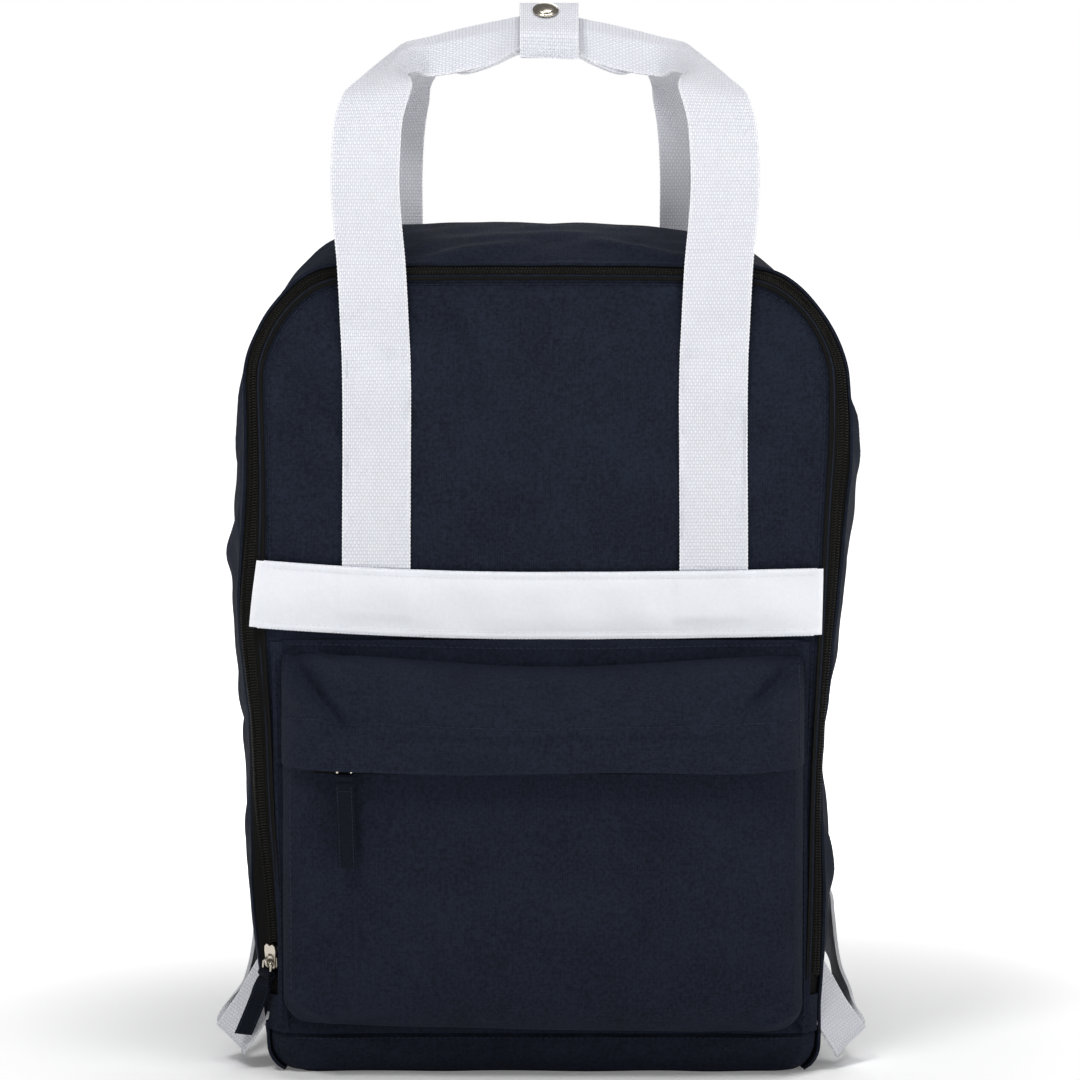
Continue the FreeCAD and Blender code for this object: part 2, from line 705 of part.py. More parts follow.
def keeper():
    """Wrap that holds the two grips together, closed with a snap on its front upper edge.

    Local v runs across the grips and n stands out from them. The loop goes around the front,
    the underside and the back; the flap is sewn to its back edge and closes over the top.
    """
    frame = FreeCAD.Placement(point(size("keeper_x"), size("grip_y"), size("grip_z")),
                              FreeCAD.Rotation(point(1, 0, 0), size("grip_tilt")))
    long = size("keeper_long")
    reach = size("keeper_reach")
    cloth = size("cloth")
    under = -size("keeper_under")
    over = size("keeper_over")
    flap_under = size("flap_under")
    flap_over = size("flap_over")

    def wall(v_low, v_high, n_low, n_high):
        return Part.makeBox(long, v_high - v_low, n_high - n_low, point(-long / 2, v_low, n_low))

    def stud_hole(radius, n_low):
        return Part.makeCylinder(radius, 3.0, point(0, size("snap_v"), n_low), point(0, 0, 1))
    back_edge = reach - cloth
    underside = wall(-reach, reach, under, under + cloth)
    back_side = wall(back_edge, reach, under, over - 2 * cloth)
    front_side = wall(-reach, -back_edge, under, over)
    lip = wall(-reach, size("snap_v") + size("lip_reach"), over - cloth, over)
    loop = underside.fuse([back_side, front_side, lip])
    loop = loop.cut(stud_hole(size("snap_post") / 2 + 0.1, over - 2.0)).removeSplitter()
    new_feature("keeper_loop", loop, frame)
    top = wall(2.0 - reach, reach, flap_under, flap_over)
    flap = top.fuse(wall(back_edge, reach, flap_over - 3.0, flap_over))
    flap = flap.cut(stud_hole(3.2, over)).removeSplitter()
    new_feature("keeper_flap", flap, frame)
    snap(frame)


def snap(frame):
    """Press stud: a post on the loop, and a cap with a socket on the flap."""
    spot = frame.multiply(FreeCAD.Placement(point(0, size("snap_v"), 0), FreeCAD.Rotation()))
    body = new_body("snap_stud")
    disc_low = "keeper_over - cloth - 1.2"
    disc_high = "keeper_over - cloth - 0.2"
    post_top = "flap_under + 0.8"
    profile = (("0", disc_low), ("4.5", disc_low), ("4.5", disc_high),
               ("snap_post / 2", disc_high), ("snap_post / 2", post_top), ("0", post_top))
    turned(body, profile)
    body.Placement = spot
    body = new_body("snap_cap")
    socket = "snap_post / 2 + 0.2"
    profile = (("0", "flap_over + 1"), ("0", "flap_over + 2"),
               ("snap_cap / 2 - 1", "flap_over + 1.4"), ("snap_cap / 2", "flap_over + 0.2"),
               ("3", "flap_over + 0.2"), ("3", "flap_under + 0.1"),
               (socket, "flap_under + 0.1"), (socket, "flap_over + 1"))
    turned(body, profile)
    body.Placement = spot


def turned(body, profile):
    """Solid of revolution about the body's vertical axis."""
    sketch = polygon(body, "Profile", "XZ_Plane", "0", profile)
    feature = body.newObject("PartDesign::Revolution", "Revolution")
    feature.Profile = sketch
    feature.ReferenceAxis = (sketch, ["V_Axis"])
    feature.Angle = 360.0
    doc.recompute()


# ---------------------------------------------------------------- shoulder straps

def shoulder_strap(side, name):
    """Padded strap that hangs on the back, with its ladder-lock adjuster below."""
    mark = "" if side > 0 else "-"
    outer_y = "pad_y - pad_thick / 2"
    corners = (("pad_inner", "pad_top"), ("pad_inner", "318"), ("adjuster_x - pad_wide / 2", "160"),
               ("adjuster_x - 17", "142"), ("adjuster_x + 17", "142"),
               ("adjuster_x + pad_wide / 2", "166"), ("pad_inner + pad_wide", "326"),
               ("pad_inner + pad_wide", "pad_top"))
    corners = [(f"{mark}({across})", up) for across, up in corners]
    body = new_body(f"shoulder_pad_{name}")
    sketch = polygon(body, "Outline", "XZ_Plane", f"-({outer_y}) - pad_thick", corners)
    block = pad(body, sketch, "pad_thick")
    fillet(body, block, "pad_thick / 3", faces_edge)
    adjuster(mark, name)
    plate(f"adjuster_loop_{name}",
          rectangle(f"{mark}adjuster_x - narrow_webbing / 2", f"{mark}adjuster_x + narrow_webbing / 2",
                    "adjuster_z + adjuster_tall / 2 + 0.3", "141.7"),
          "pad_y - webbing / 2", "webbing")


def faces_edge(direction, middle):
    """Edges of the two broad faces of a plate."""
    return abs(direction.y) < 1e-6


def adjuster(mark, name):
    """Ladder lock: a moulded frame with three slots for the webbing."""
    body = new_body(f"adjuster_{name}")
    middle = f"{mark}adjuster_x"
    block = pad(body, polygon(body, "Outline", "XZ_Plane", "-pad_y - adjuster_thick / 2",
                              rectangle(f"{middle} - adjuster_wide / 2",
                                        f"{middle} + adjuster_wide / 2",
                                        "adjuster_z - adjuster_tall / 2",
                                        "adjuster_z + adjuster_tall / 2")), "adjuster_thick")
    fillet(body, block, "3", along("y"))
    slot = polygon(body, "Slot", "XZ_Plane", "-pad_y - adjuster_thick / 2",
                   rectangle(f"{middle} - 13.5", f"{middle} + 13.5", "adjuster_z - 12",
                             "adjuster_z - 7.5"))
    cut = pocket(body, slot, "adjuster_thick + 1", reverse=True)
    repeat = body.newObject("PartDesign::LinearPattern", "Slots")
    repeat.Originals = [cut]
    repeat.Direction = (slot, ["V_Axis"])
    repeat.Length = 19.0
    repeat.Occurrences = 3
    body.Tip = repeat
    doc.recompute()


def lower_strap(side, name):
    """Narrow webbing from the lower front corner, folded back along the side to the adjuster."""
    path = (
        (-136, -49.5, 34, (0, 0, 1)), (-141, -52.5, 32.5, (0, 0, 1)),
        (-147, -51.5, 30, (0, 0, 1)), (-150.5, -46, 27.5, (0, 0, 1)),
        (-149.5, -37, 25.5, (0, 0, 1)), (-146, -20, 25, (0, -0.1, 1)),
        (-143.5, 5, 28, (0, -0.3, 1)), (-142.5, 32, 37, (0, -0.4, 1)),
        (-141, 56, 49, (-0.1, -0.5, 0.9)), (-136, 69.5, 58, (-0.4, -0.3, 0.8)),
        (-124, 74, 71, (-0.6, 0, 0.8)), (-112, 73, 85, (-0.75, 0, 0.65)),
        (-104, 72.6, 98, (-0.9, 0, 0.4)), (-100, 72.6, 112, (-1, 0, 0.1)),
    )
    curve = Part.BSplineCurve()
    curve.interpolate([point(x, y, z) for x, y, z, across in path])
    marks = [curve.parameter(point(x, y, z)) for x, y, z, across in path]
    count = 30
    stations = []
    for step in range(count + 1):
        mark = curve.parameterAtDistance(curve.length() * step / count, curve.FirstParameter)
        index = max(i for i in range(len(marks) - 1) if marks[i] <= mark + 1e-9)
        share = (mark - marks[index]) / (marks[index + 1] - marks[index])
        start = point(*path[index][3]).normalize()
        end = point(*path[index + 1][3]).normalize()
        stations.append((curve.value(mark), start * (1 - share) + end * share))
    shape = ribbon(stations, size("narrow_webbing"), size("webbing"))
    if side > 0:
        shape = shape.mirror(point(0, 0, 0), point(1, 0, 0))
    new_feature(f"lower_strap_{name}", shape)


def back_reinforcement():
    """Yoke patch over the strap ends, high on the back."""
    plate("strap_yoke", rectangle("-yoke_half", "yoke_half", "pad_top + 6 - yoke_tall",
                                  "pad_top + 6"), "back_y + clear_gap", "webbing")


# ---------------------------------------------------------------- assembly

def build():
    back_layers()
    gusset()
    base()
    front_foot()
    laptop_sleeve()
    front_panel()
    strip_pair("front_handle_base", "band_low + 6", "handle_spring",
               "-front_y - clear_gap - webbing", "handle_half")
    strip_pair("back_handle_base", "250", "handle_spring", "back_y + clear_gap",
               "(handle_half - 6)")
    pocket_shell()
    pocket_cover()
    pocket_zip()
    main_zip()
    zip_end_stops()
    main_slider()
    pocket_slider()
    handles()
    keeper()
    back_reinforcement()
    for side, name in ((-1.0, "left"), (1.0, "right")):
        shoulder_strap(side, name)
        lower_strap(side, name)


def check():
    """Stop before anything is written if a feature failed or a shape is empty or broken."""
    for item in doc.Objects:
        if "Invalid" in item.State or "Error" in item.State:
            raise RuntimeError(f"{item.Label}: {item.State}")
    for node in nodes:
        if node.Shape.isNull() or not node.Shape.isValid() or not node.Shape.Solids:
            raise RuntimeError(f"{node.Label}: bad shape")


build()
dims.clear(SCRATCH)
doc.recompute()
check()
os.makedirs("parts", exist_ok=True)
for node in nodes:
    node.Shape.exportStep(f"parts/{node.Label}.step")
    print(node.Label, len(node.Shape.Solids), round(node.Shape.Volume, 1))
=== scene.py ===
"""Looks of a school backpack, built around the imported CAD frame.

A navy cloth body with a zipped front, a covered front pocket, a white band, white webbing handles
with a keeper, and padded shoulder straps. Shapes are worked out in millimetres in the frame of the
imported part: +Z up, the front faces -Y.
"""
import json
import math

import bpy
import numpy as np
from mathutils import Matrix, Vector


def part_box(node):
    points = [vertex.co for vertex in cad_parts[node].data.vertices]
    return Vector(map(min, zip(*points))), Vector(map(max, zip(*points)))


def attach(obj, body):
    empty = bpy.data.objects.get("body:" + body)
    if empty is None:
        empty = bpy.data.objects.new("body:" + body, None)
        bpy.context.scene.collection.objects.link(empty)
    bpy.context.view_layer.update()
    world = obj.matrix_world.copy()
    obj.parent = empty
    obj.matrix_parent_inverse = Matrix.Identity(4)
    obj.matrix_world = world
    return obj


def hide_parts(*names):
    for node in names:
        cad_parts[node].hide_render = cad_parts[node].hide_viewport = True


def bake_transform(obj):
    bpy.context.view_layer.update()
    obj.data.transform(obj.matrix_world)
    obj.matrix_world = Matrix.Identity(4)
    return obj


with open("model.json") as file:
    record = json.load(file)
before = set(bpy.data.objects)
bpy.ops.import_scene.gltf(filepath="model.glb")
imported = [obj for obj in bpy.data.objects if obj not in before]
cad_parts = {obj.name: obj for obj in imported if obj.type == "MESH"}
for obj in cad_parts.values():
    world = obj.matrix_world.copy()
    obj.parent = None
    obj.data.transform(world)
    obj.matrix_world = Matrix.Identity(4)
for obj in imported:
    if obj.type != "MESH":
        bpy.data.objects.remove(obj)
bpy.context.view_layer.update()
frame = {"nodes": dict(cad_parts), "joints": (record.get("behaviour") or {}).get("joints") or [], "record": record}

MM = 0.001
UV_UNIT = 0.1           # one UV unit is 10 mm of cloth
rng = np.random.default_rng(7)


def span(node):
    """Lowest and highest corner of a CAD node, in millimetres."""
    low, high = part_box(node)
    return np.array(low) / MM, np.array(high) / MM


# ---------------------------------------------------------------- materials

class Shader:
    """Node material with short calls for its maths."""

    def __init__(self, name):
        self.material = bpy.data.materials.new(name)
        self.material.use_nodes = True
        self.tree = self.material.node_tree
        self.bsdf = self.tree.nodes["Principled BSDF"]
        self.uv = self.node("ShaderNodeTexCoord").outputs["UV"]
        self.place = self.node("ShaderNodeTexCoord").outputs["Object"]

    def node(self, kind, **settings):
        made = self.tree.nodes.new(kind)
        for key, setting in settings.items():
            setattr(made, key, setting)
        return made

    def feed(self, socket, source):
        if isinstance(source, bpy.types.NodeSocket):
            self.tree.links.new(source, socket)
        else:
            socket.default_value = source

    def math(self, operation, first, second=0.0, third=0.0):
        made = self.node("ShaderNodeMath", operation=operation)
        for socket, source in zip(made.inputs, (first, second, third)):
            self.feed(socket, source)
        return made.outputs[0]

    def times(self, first, second):
        return self.math("MULTIPLY", first, second)

    def between(self, factor, low, high):
        """Number between low and high as factor goes from 0 to 1."""
        return self.math("MULTIPLY_ADD", factor, high - low, low)

    def noise(self, scale, detail=2.0, stretch=(1.0, 1.0, 1.0)):
        mapping = self.node("ShaderNodeMapping")
        self.feed(mapping.inputs["Vector"], self.place)
        mapping.inputs["Scale"].default_value = stretch
        made = self.node("ShaderNodeTexNoise")
        self.feed(made.inputs["Vector"], mapping.outputs[0])
        made.inputs["Scale"].default_value = scale
        made.inputs["Detail"].default_value = detail
        return made.outputs["Fac"]

    def mix(self, factor, first, second):
        made = self.node("ShaderNodeMix", data_type="RGBA")
        self.feed(made.inputs[0], factor)
        self.feed(made.inputs[6], first)
        self.feed(made.inputs[7], second)
        return made.outputs[2]

    def set(self, **inputs):
        for key, source in inputs.items():
            self.feed(self.bsdf.inputs[key.replace("_", " ")], source)

    def bump(self, height, distance, strength=1.0, below=None):
        made = self.node("ShaderNodeBump")
        made.inputs["Distance"].default_value = distance * MM
        made.inputs["Strength"].default_value = strength
        self.feed(made.inputs["Height"], height)
        if below is not None:
            self.feed(made.inputs["Normal"], below)
        return made.outputs[0]

    def weave(self, pitch, weft_level, float_end):
        """Height of a plain weave: threads of one direction lie over the other in a chequer."""
        threads = self.node("ShaderNodeSeparateXYZ")
        self.feed(threads.inputs[0], self.uv)
        waves = []
        for way in (0, 1):
            count = self.times(threads.outputs[way], 1.0 / (UV_UNIT * pitch[way]))
            waves.append(self.math("SINE", self.times(count, math.pi)))
        over = self.math("GREATER_THAN", self.times(*waves), 0.0)
        round_u, round_v = [self.math("ABSOLUTE", wave) for wave in waves]
        warp = self.times(self.math("SQRT", round_u), self.between(round_v, float_end, 1.0))
        weft = self.times(self.math("SQRT", round_v), self.between(round_u, 0.55, 1.0))
        weft = self.times(weft, weft_level)
        return self.math("MULTIPLY_ADD", self.math("SUBTRACT", warp, weft), over, weft)


def rgba(colour, level=1.0):
    return tuple(min(part * level, 1.0) for part in colour) + (1.0,)


def fabric(name, colour, pitch, relief, thread_shading, rough=0.85, sheen=0.03, mottle=0.12,
           streaks=0.0, fuzz=0.0, weft_level=1.0, float_end=0.55, spread=0.55):
    """Woven cloth: thread relief, with painted shade in the gaps between threads and painted highlight on their
    crowns, blotchy dye, slubs and a rough sheen.

    pitch is the width of a thread across and along, and relief its height, in millimetres.
    """
    shader = Shader(name)
    weave = shader.weave(pitch, weft_level, float_end)
    blotch = shader.noise(38.0, 3.0)
    speck = shader.noise(640.0, 1.0)
    slub = shader.noise(60.0, 2.0, stretch=(22.0, 22.0, 1.0))
    # The weave's height also sets the colour: thread crowns are painted lighter and the gaps between them darker,
    # as painted highlight and painted shade.
    factor = shader.between(weave, 0.5 - thread_shading, 0.5 + thread_shading)
    for pattern, reach in ((blotch, mottle), (speck, mottle * 2.2), (slub, streaks)):
        factor = shader.math("ADD", factor, shader.between(pattern, -reach, reach))
    tone = shader.mix(factor, rgba(colour, 1 - spread), rgba(colour, 1 + spread))
    worn = shader.node("ShaderNodeAttribute", attribute_name="edge").outputs["Fac"]
    wear = shader.times(worn, shader.between(speck, 0.1, 0.45))
    tone = shader.mix(wear, tone, rgba(colour, 1.8))
    fluff = shader.bump(speck, 0.08 + fuzz, 0.5)
    shader.set(Base_Color=tone, Roughness=shader.between(blotch, rough - 0.06, min(rough + 0.06, 1.0)),
               Sheen_Weight=sheen, Sheen_Roughness=0.45, Sheen_Tint=rgba(colour, 6.0),
               Specular_IOR_Level=0.10, Normal=shader.bump(weave, relief, 0.9, fluff))
    return shader.material


def metal(name, colour, rough):
    """Plated metal with fine scratches and dull spots."""
    shader = Shader(name)
    cloudy = shader.noise(260.0, 3.0)
    scratch = shader.noise(900.0, 2.0, stretch=(1.0, 14.0, 1.0))
    roughness = shader.math("ADD", shader.between(cloudy, rough - 0.05, rough + 0.1),
                            shader.between(scratch, -0.04, 0.06))
    shader.set(Base_Color=shader.mix(cloudy, rgba(colour, 0.8), rgba(colour, 1.12)), Metallic=1.0,
               Roughness=roughness, Normal=shader.bump(scratch, 0.02, 0.35))
    return shader.material


def plastic(name, colour, rough, grain, scale):
    """Moulded plastic with a fine grain."""
    shader = Shader(name)
    fine = shader.noise(scale, 2.0)
    broad = shader.noise(50.0, 2.0)
    shader.set(Base_Color=shader.mix(broad, rgba(colour, 0.75), rgba(colour, 1.3)),
               Roughness=shader.between(fine, rough - 0.08, rough + 0.1),
               Specular_IOR_Level=0.16, Normal=shader.bump(fine, grain, 0.6))
    return shader.material


NAVY = (0.0088, 0.0118, 0.0212)
LOOKS = {
    "navy_cloth": fabric("navy_cloth", NAVY, (0.8, 0.8), 0.2, 0.42, rough=0.84, sheen=0.02,
                         mottle=0.34, streaks=0.22),
    "navy_lining": fabric("navy_lining", (0.030, 0.037, 0.055), (0.35, 0.35), 0.05, 0.10, rough=0.62,
                          sheen=0.02, mottle=0.10, streaks=0.05),
    "white_webbing": fabric("white_webbing", (0.69, 0.70, 0.765), (0.92, 1.6), 0.5, 0.30, rough=0.8,
                            sheen=0.01, mottle=0.04, fuzz=0.03, weft_level=0.6, float_end=0.7,
                            spread=0.34),
    "white_band": fabric("white_band", (0.72, 0.735, 0.79), (0.3, 0.3), 0.04, 0.06, rough=0.62,
                         sheen=0.01, mottle=0.03, spread=0.3),
    "zip_tape": fabric("zip_tape", (0.0040, 0.0040, 0.0038), (0.6, 1.2), 0.2, 0.25, sheen=0.01),
    "zip_coil": plastic("zip_coil", (0.0065, 0.006, 0.0045), 0.4, 0.03, 1500.0),
    "nickel": metal("nickel", (0.50, 0.46, 0.39), 0.2),
    "black_plastic": plastic("black_plastic", (0.016, 0.016, 0.018), 0.5, 0.05, 1400.0),
    "foam": plastic("foam", (0.10, 0.10, 0.12), 0.85, 0.3, 700.0),
    "board": plastic("board", (0.05, 0.05, 0.05), 0.6, 0.08, 500.0),
}
PULL_LOOK = fabric("pull_cloth", (0.0044, 0.0060, 0.0110), (0.8, 0.8), 0.22, 0.30, rough=0.8,
                   sheen=0.02)
WHITE_THREAD = fabric("white_thread", (0.70, 0.71, 0.77), (0.5, 0.5), 0.05, 0.05, rough=0.6,
                      sheen=0.01, spread=0.3)
NAVY_THREAD = fabric("navy_thread", (0.017, 0.022, 0.038), (0.4, 0.4), 0.05, 0.10, rough=0.55,
                     sheen=0.10)


# ---------------------------------------------------------------- curves and numbers

def surface(x, y, z):
    """Points from coordinates that are numbers, rows or columns."""
    return np.stack(np.broadcast_arrays(x, y, z), -1).astype(float)


def unit(vectors):
    length = np.linalg.norm(vectors, axis=-1, keepdims=True)
    return vectors / np.maximum(length, 1e-9)


def lengths(path):
    return np.concatenate([[0], np.cumsum(np.linalg.norm(np.diff(path, axis=0), axis=1))])


def along(path, run, at):
    """Points on a path whose own points lie at run, at the lengths given."""
    return np.stack([np.interp(at, run, path[:, axis]) for axis in range(path.shape[1])], -1)


def spline(knots, values, at):
    """Smooth curve through values at rising knots."""
    knots = np.asarray(knots, float)
    values = np.asarray(values, float)
    slopes = np.gradient(values, knots, axis=0)
    index = np.clip(np.searchsorted(knots, at, side="right") - 1, 0, len(knots) - 2)
    shape = (slice(None),) + (None,) * (values.ndim - 1)
    gap = (knots[index + 1] - knots[index])[shape]
    s = (at - knots[index])[shape] / gap
    return ((2 * s ** 3 - 3 * s ** 2 + 1) * values[index] + (s ** 3 - 2 * s ** 2 + s) * gap
            * slopes[index] + (3 * s ** 2 - 2 * s ** 3) * values[index + 1]
            + (s ** 3 - s ** 2) * gap * slopes[index + 1])


def even_path(points, step):
    """Smooth path through points, cut into equal steps."""
    points = np.asarray(points, float)
    knots = lengths(points)
    fine = spline(knots, points, np.linspace(0, knots[-1], 12 * len(points)))
    run = lengths(fine)
    return along(fine, run, np.linspace(0, run[-1], max(int(run[-1] / step), 2)))


def smooth_step(low, high, value):
    share = np.clip((np.asarray(value, float) - low) / (high - low), 0, 1)
    return share * share * (3 - 2 * share)


def hump(value, middle, width):
    return np.exp(-((np.asarray(value, float) - middle) / width) ** 2)


def eased(path, rounds):
    """Moves the inner points of a path towards their neighbours, in place."""
    for _ in range(rounds):
        path[1:-1] = 0.25 * path[:-2] + 0.5 * path[1:-1] + 0.25 * path[2:]
    return path


def index_near(values, wanted):
    """Index of the value closest to the wanted one."""
    return int(np.argmin(abs(values - wanted)))


def crowded(count, share):
    """Steps from -1 to 1 that are closer together towards both ends."""
    even = np.linspace(-1, 1, count)
    return share * np.sin(even * math.pi / 2) + (1 - share) * even


# ---------------------------------------------------------------- pieces

FORWARD = (0, -1, 0)
BACKWARD = (0, 1, 0)
SIDES = ((-1, "left"), (1, "right"))
CLOTH = 1.4
LINING = 0.7


def new_piece(name, points, faces, look, uv=None, edge=None, sharp=40.0):
    """Mesh object from points in millimetres."""
    mesh = bpy.data.meshes.new(name)
    mesh.from_pydata((np.asarray(points) * MM).tolist(), [], [list(face) for face in faces])
    corners = np.empty(len(mesh.loops), int)
    mesh.loops.foreach_get("vertex_index", corners)
    uv = np.zeros((len(points), 2)) if uv is None else np.asarray(uv)
    layer = mesh.uv_layers.new(name="UVMap")
    layer.data.foreach_set("uv", uv.astype(np.float32)[corners].ravel())
    if edge is not None:
        layer = mesh.attributes.new("edge", "FLOAT", "POINT")
        layer.data.foreach_set("value", np.asarray(edge, np.float32))
    mesh.polygons.foreach_set("use_smooth", [True] * len(mesh.polygons))
    mesh.set_sharp_from_angle(angle=math.radians(sharp))
    mesh.materials.append(look)
    mesh.validate()
    made = bpy.data.objects.new(name, mesh)
    bpy.context.scene.collection.objects.link(made)
    return made


def placed(made, motion, slot, *nodes):
    """Hides the CAD nodes a piece stands for, and hangs the piece on the body that carries it.

    motion is a body's name, or two bodies and the places where a bend between them starts and ends; no such bend
    is made, and a piece given two bodies stays fixed where it is, on no body.
    """
    if isinstance(motion, str):
        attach(made, motion)
    else:
        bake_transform(made)
    if nodes:
        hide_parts(*nodes)
    return made


def grid_faces(rows, cols, flip=False):
    index = np.arange(rows * cols).reshape(rows, cols)
    quads = np.stack([index[:-1, :-1], index[:-1, 1:], index[1:, 1:], index[1:, :-1]], -1)
    quads = quads.reshape(-1, 4)
    return quads[:, ::-1] if flip else quads


def ring_faces(count, sides, inward=False):
    """Faces of a closed-ended tube of rings of points."""
    index = np.arange(count * sides).reshape(count, sides)
    after = np.roll(index, -1, axis=1)
    quads = [index[:-1], index[1:], after[1:], after[:-1]]
    if inward:
        quads = [index[:-1], after[:-1], after[1:], index[1:]]
    faces = np.stack(quads, -1).reshape(-1, 4).tolist()
    ends = (index[0], index[-1, ::-1])
    if inward:
        ends = (index[0, ::-1], index[-1])
    return faces + [end.tolist() for end in ends]


def cloth(name, grid, thick, look, flip=False, both_ways=False, wear=2.0):
    """Closed sheet: the grid is its outer face, or its middle if both_ways."""
    rows, cols = grid.shape[:2]
    count = rows * cols
    normals = unit(np.cross(np.gradient(grid, axis=1), np.gradient(grid, axis=0)))
    normals = normals * (-1.0 if flip else 1.0)
    top = grid + normals * (thick / 2 if both_ways else 0.0)
    under = grid - normals * (thick / 2 if both_ways else thick)
    index = np.arange(count).reshape(rows, cols)
    ring = np.concatenate([index[0, :-1], index[:-1, -1], index[-1, :0:-1], index[:0:-1, 0]])
    following = np.roll(ring, -1)
    rim = np.stack([ring, following, following + count, ring + count], -1)
    faces = [grid_faces(rows, cols, not flip), grid_faces(rows, cols, flip) + count,
             rim[:, ::-1] if flip else rim]
    across, down = np.meshgrid(lengths(grid[rows // 2]), lengths(grid[:, cols // 2]))
    uv = np.stack([across, down], -1).reshape(-1, 2) * UV_UNIT
    row = np.minimum(np.arange(rows), np.arange(rows)[::-1])[:, None]
    col = np.minimum(np.arange(cols), np.arange(cols)[::-1])[None, :]
    worn = np.clip(1.0 - np.minimum(row, col) / wear, 0, 1).ravel()
    points = np.concatenate([top.reshape(-1, 3), under.reshape(-1, 3)])
    return new_piece(name, points, np.concatenate(faces), look, np.tile(uv, (2, 1)), np.tile(worn, 2))


def sheet(name, grid, motion, slot, *nodes, thick=CLOTH, **shape):
    """Cloth with the look of its slot, already placed."""
    return placed(cloth(name, grid, thick, LOOKS[slot], **shape), motion, slot, *nodes)


def tube(path, radius, sides=6, flat=1.0, ups=None):
    """Points and faces of a closed-ended tube along a path."""
    path = np.asarray(path, float)
    forward = unit(np.gradient(path, axis=0))
    if ups is None:
        ups = np.where(abs(forward[:, 2:3]) < 0.9, [[0, 0, 1.0]], [[1.0, 0, 0]])
    side = unit(np.cross(forward, np.asarray(ups, float)))
    up = np.cross(side, forward)
    angles = np.linspace(0, 2 * math.pi, sides, endpoint=False)
    rings = (path[:, None] + radius * np.cos(angles)[None, :, None] * side[:, None]
             + radius * flat * np.sin(angles)[None, :, None] * up[:, None])
    return rings.reshape(-1, 3), ring_faces(len(path), sides)


def merged(parts):
    """One list of points and faces from several."""
    points, faces, start = [], [], 0
    for part_points, part_faces in parts:
        points.append(part_points)
        faces += [[corner + start for corner in face] for face in part_faces]
        start += len(part_points)
    return np.concatenate(points), faces


def stitches(name, paths, body, slot, pitch=2.8, long=1.9, radius=0.28, lift=0.12):
    """Rows of thread: each stitch is a short, slightly bowed capsule that dips at its ends."""
    parts = []
    for path, outward in paths:
        path = np.asarray(path, float)
        run = lengths(path)
        outward = np.broadcast_to(np.asarray(outward, float), path.shape)
        for start in np.arange(pitch / 2, run[-1] - long, pitch):
            at = start + np.array([0.0, 0.12, 0.5, 0.88, 1.0]) * long
            out = along(outward, run, at)
            rise = np.array([-0.5, 0.0, 0.25, 0.0, -0.5]) * radius + lift
            parts.append(tube(along(path, run, at) + out * rise[:, None], radius, 5, ups=out))
    thread = WHITE_THREAD if slot.startswith("white") else NAVY_THREAD
    placed(new_piece(name, *merged(parts), thread, sharp=60), body, slot)


def zip_coil(node, body, place, count, pitch, middle, half, radius, sign):
    """Helix of one half of a nylon zip. place(run, across, height) gives points along the zip."""
    steps = 10
    turn = np.arange(count * steps + 1) / steps
    angle = 2 * math.pi * turn
    path = place(turn * pitch + pitch * 0.28 * np.sin(2 * angle),
                 middle + sign * half * np.cos(angle), 1.62 + 0.55 * np.sin(angle))
    made = new_piece(f"{node}_wire", *tube(path, radius, 5), LOOKS["zip_coil"], sharp=80)
    placed(made, body, "zip_coil", node)


# ---------------------------------------------------------------- the bag's plain shape

FRONT_Y, EDGE_Y, BELLY_Y, BACK_Y = -65.0, -54.0, -10.0, 65.0
FOOT_Z = 1.5
FOLD_Z = 21.0
ZIP_END_Z = 48.0
# half width at the foot and at the shoulder, top, corner radius, outward bow of the sides
FRONT = np.array([121.0, 132.0, 378.0, 46.0, 0.0])
EDGE = np.array([129.0, 140.0, 387.0, 54.0, 0.0])
BELLY = np.array([131.0, 143.0, 400.0, 62.0, 4.0])
BACK = np.array([129.0, 138.0, 390.0, 58.0, 0.0])

# lengths of one side, one corner and half the top, and their shares of the whole arch
HALF_LENGTHS = (BELLY[2] - BELLY[3] - FOOT_Z, BELLY[3] * math.pi / 2, BELLY[1] - BELLY[3])
SIDE_SHARE, CORNER_SHARE, TOP_SHARE = (0.5 * part / sum(HALF_LENGTHS) for part in HALF_LENGTHS)
ARCH_LENGTH = 2 * sum(HALF_LENGTHS)


def section_at(y):
    """Outline sizes of the bag at depths y."""
    y = np.asarray(y, float)[..., None]
    share = np.clip((y - FRONT_Y) / (EDGE_Y - FRONT_Y), 0, 1)
    strip = FRONT + (EDGE - FRONT) * share
    e, b, k = EDGE_Y, BELLY_Y, BACK_Y
    wall = (EDGE * (y - b) * (y - k) / ((e - b) * (e - k))
            + BELLY * (y - e) * (y - k) / ((b - e) * (b - k))
            + BACK * (y - e) * (y - b) / ((k - e) * (k - b)))
    return np.where(y < EDGE_Y, strip, wall)


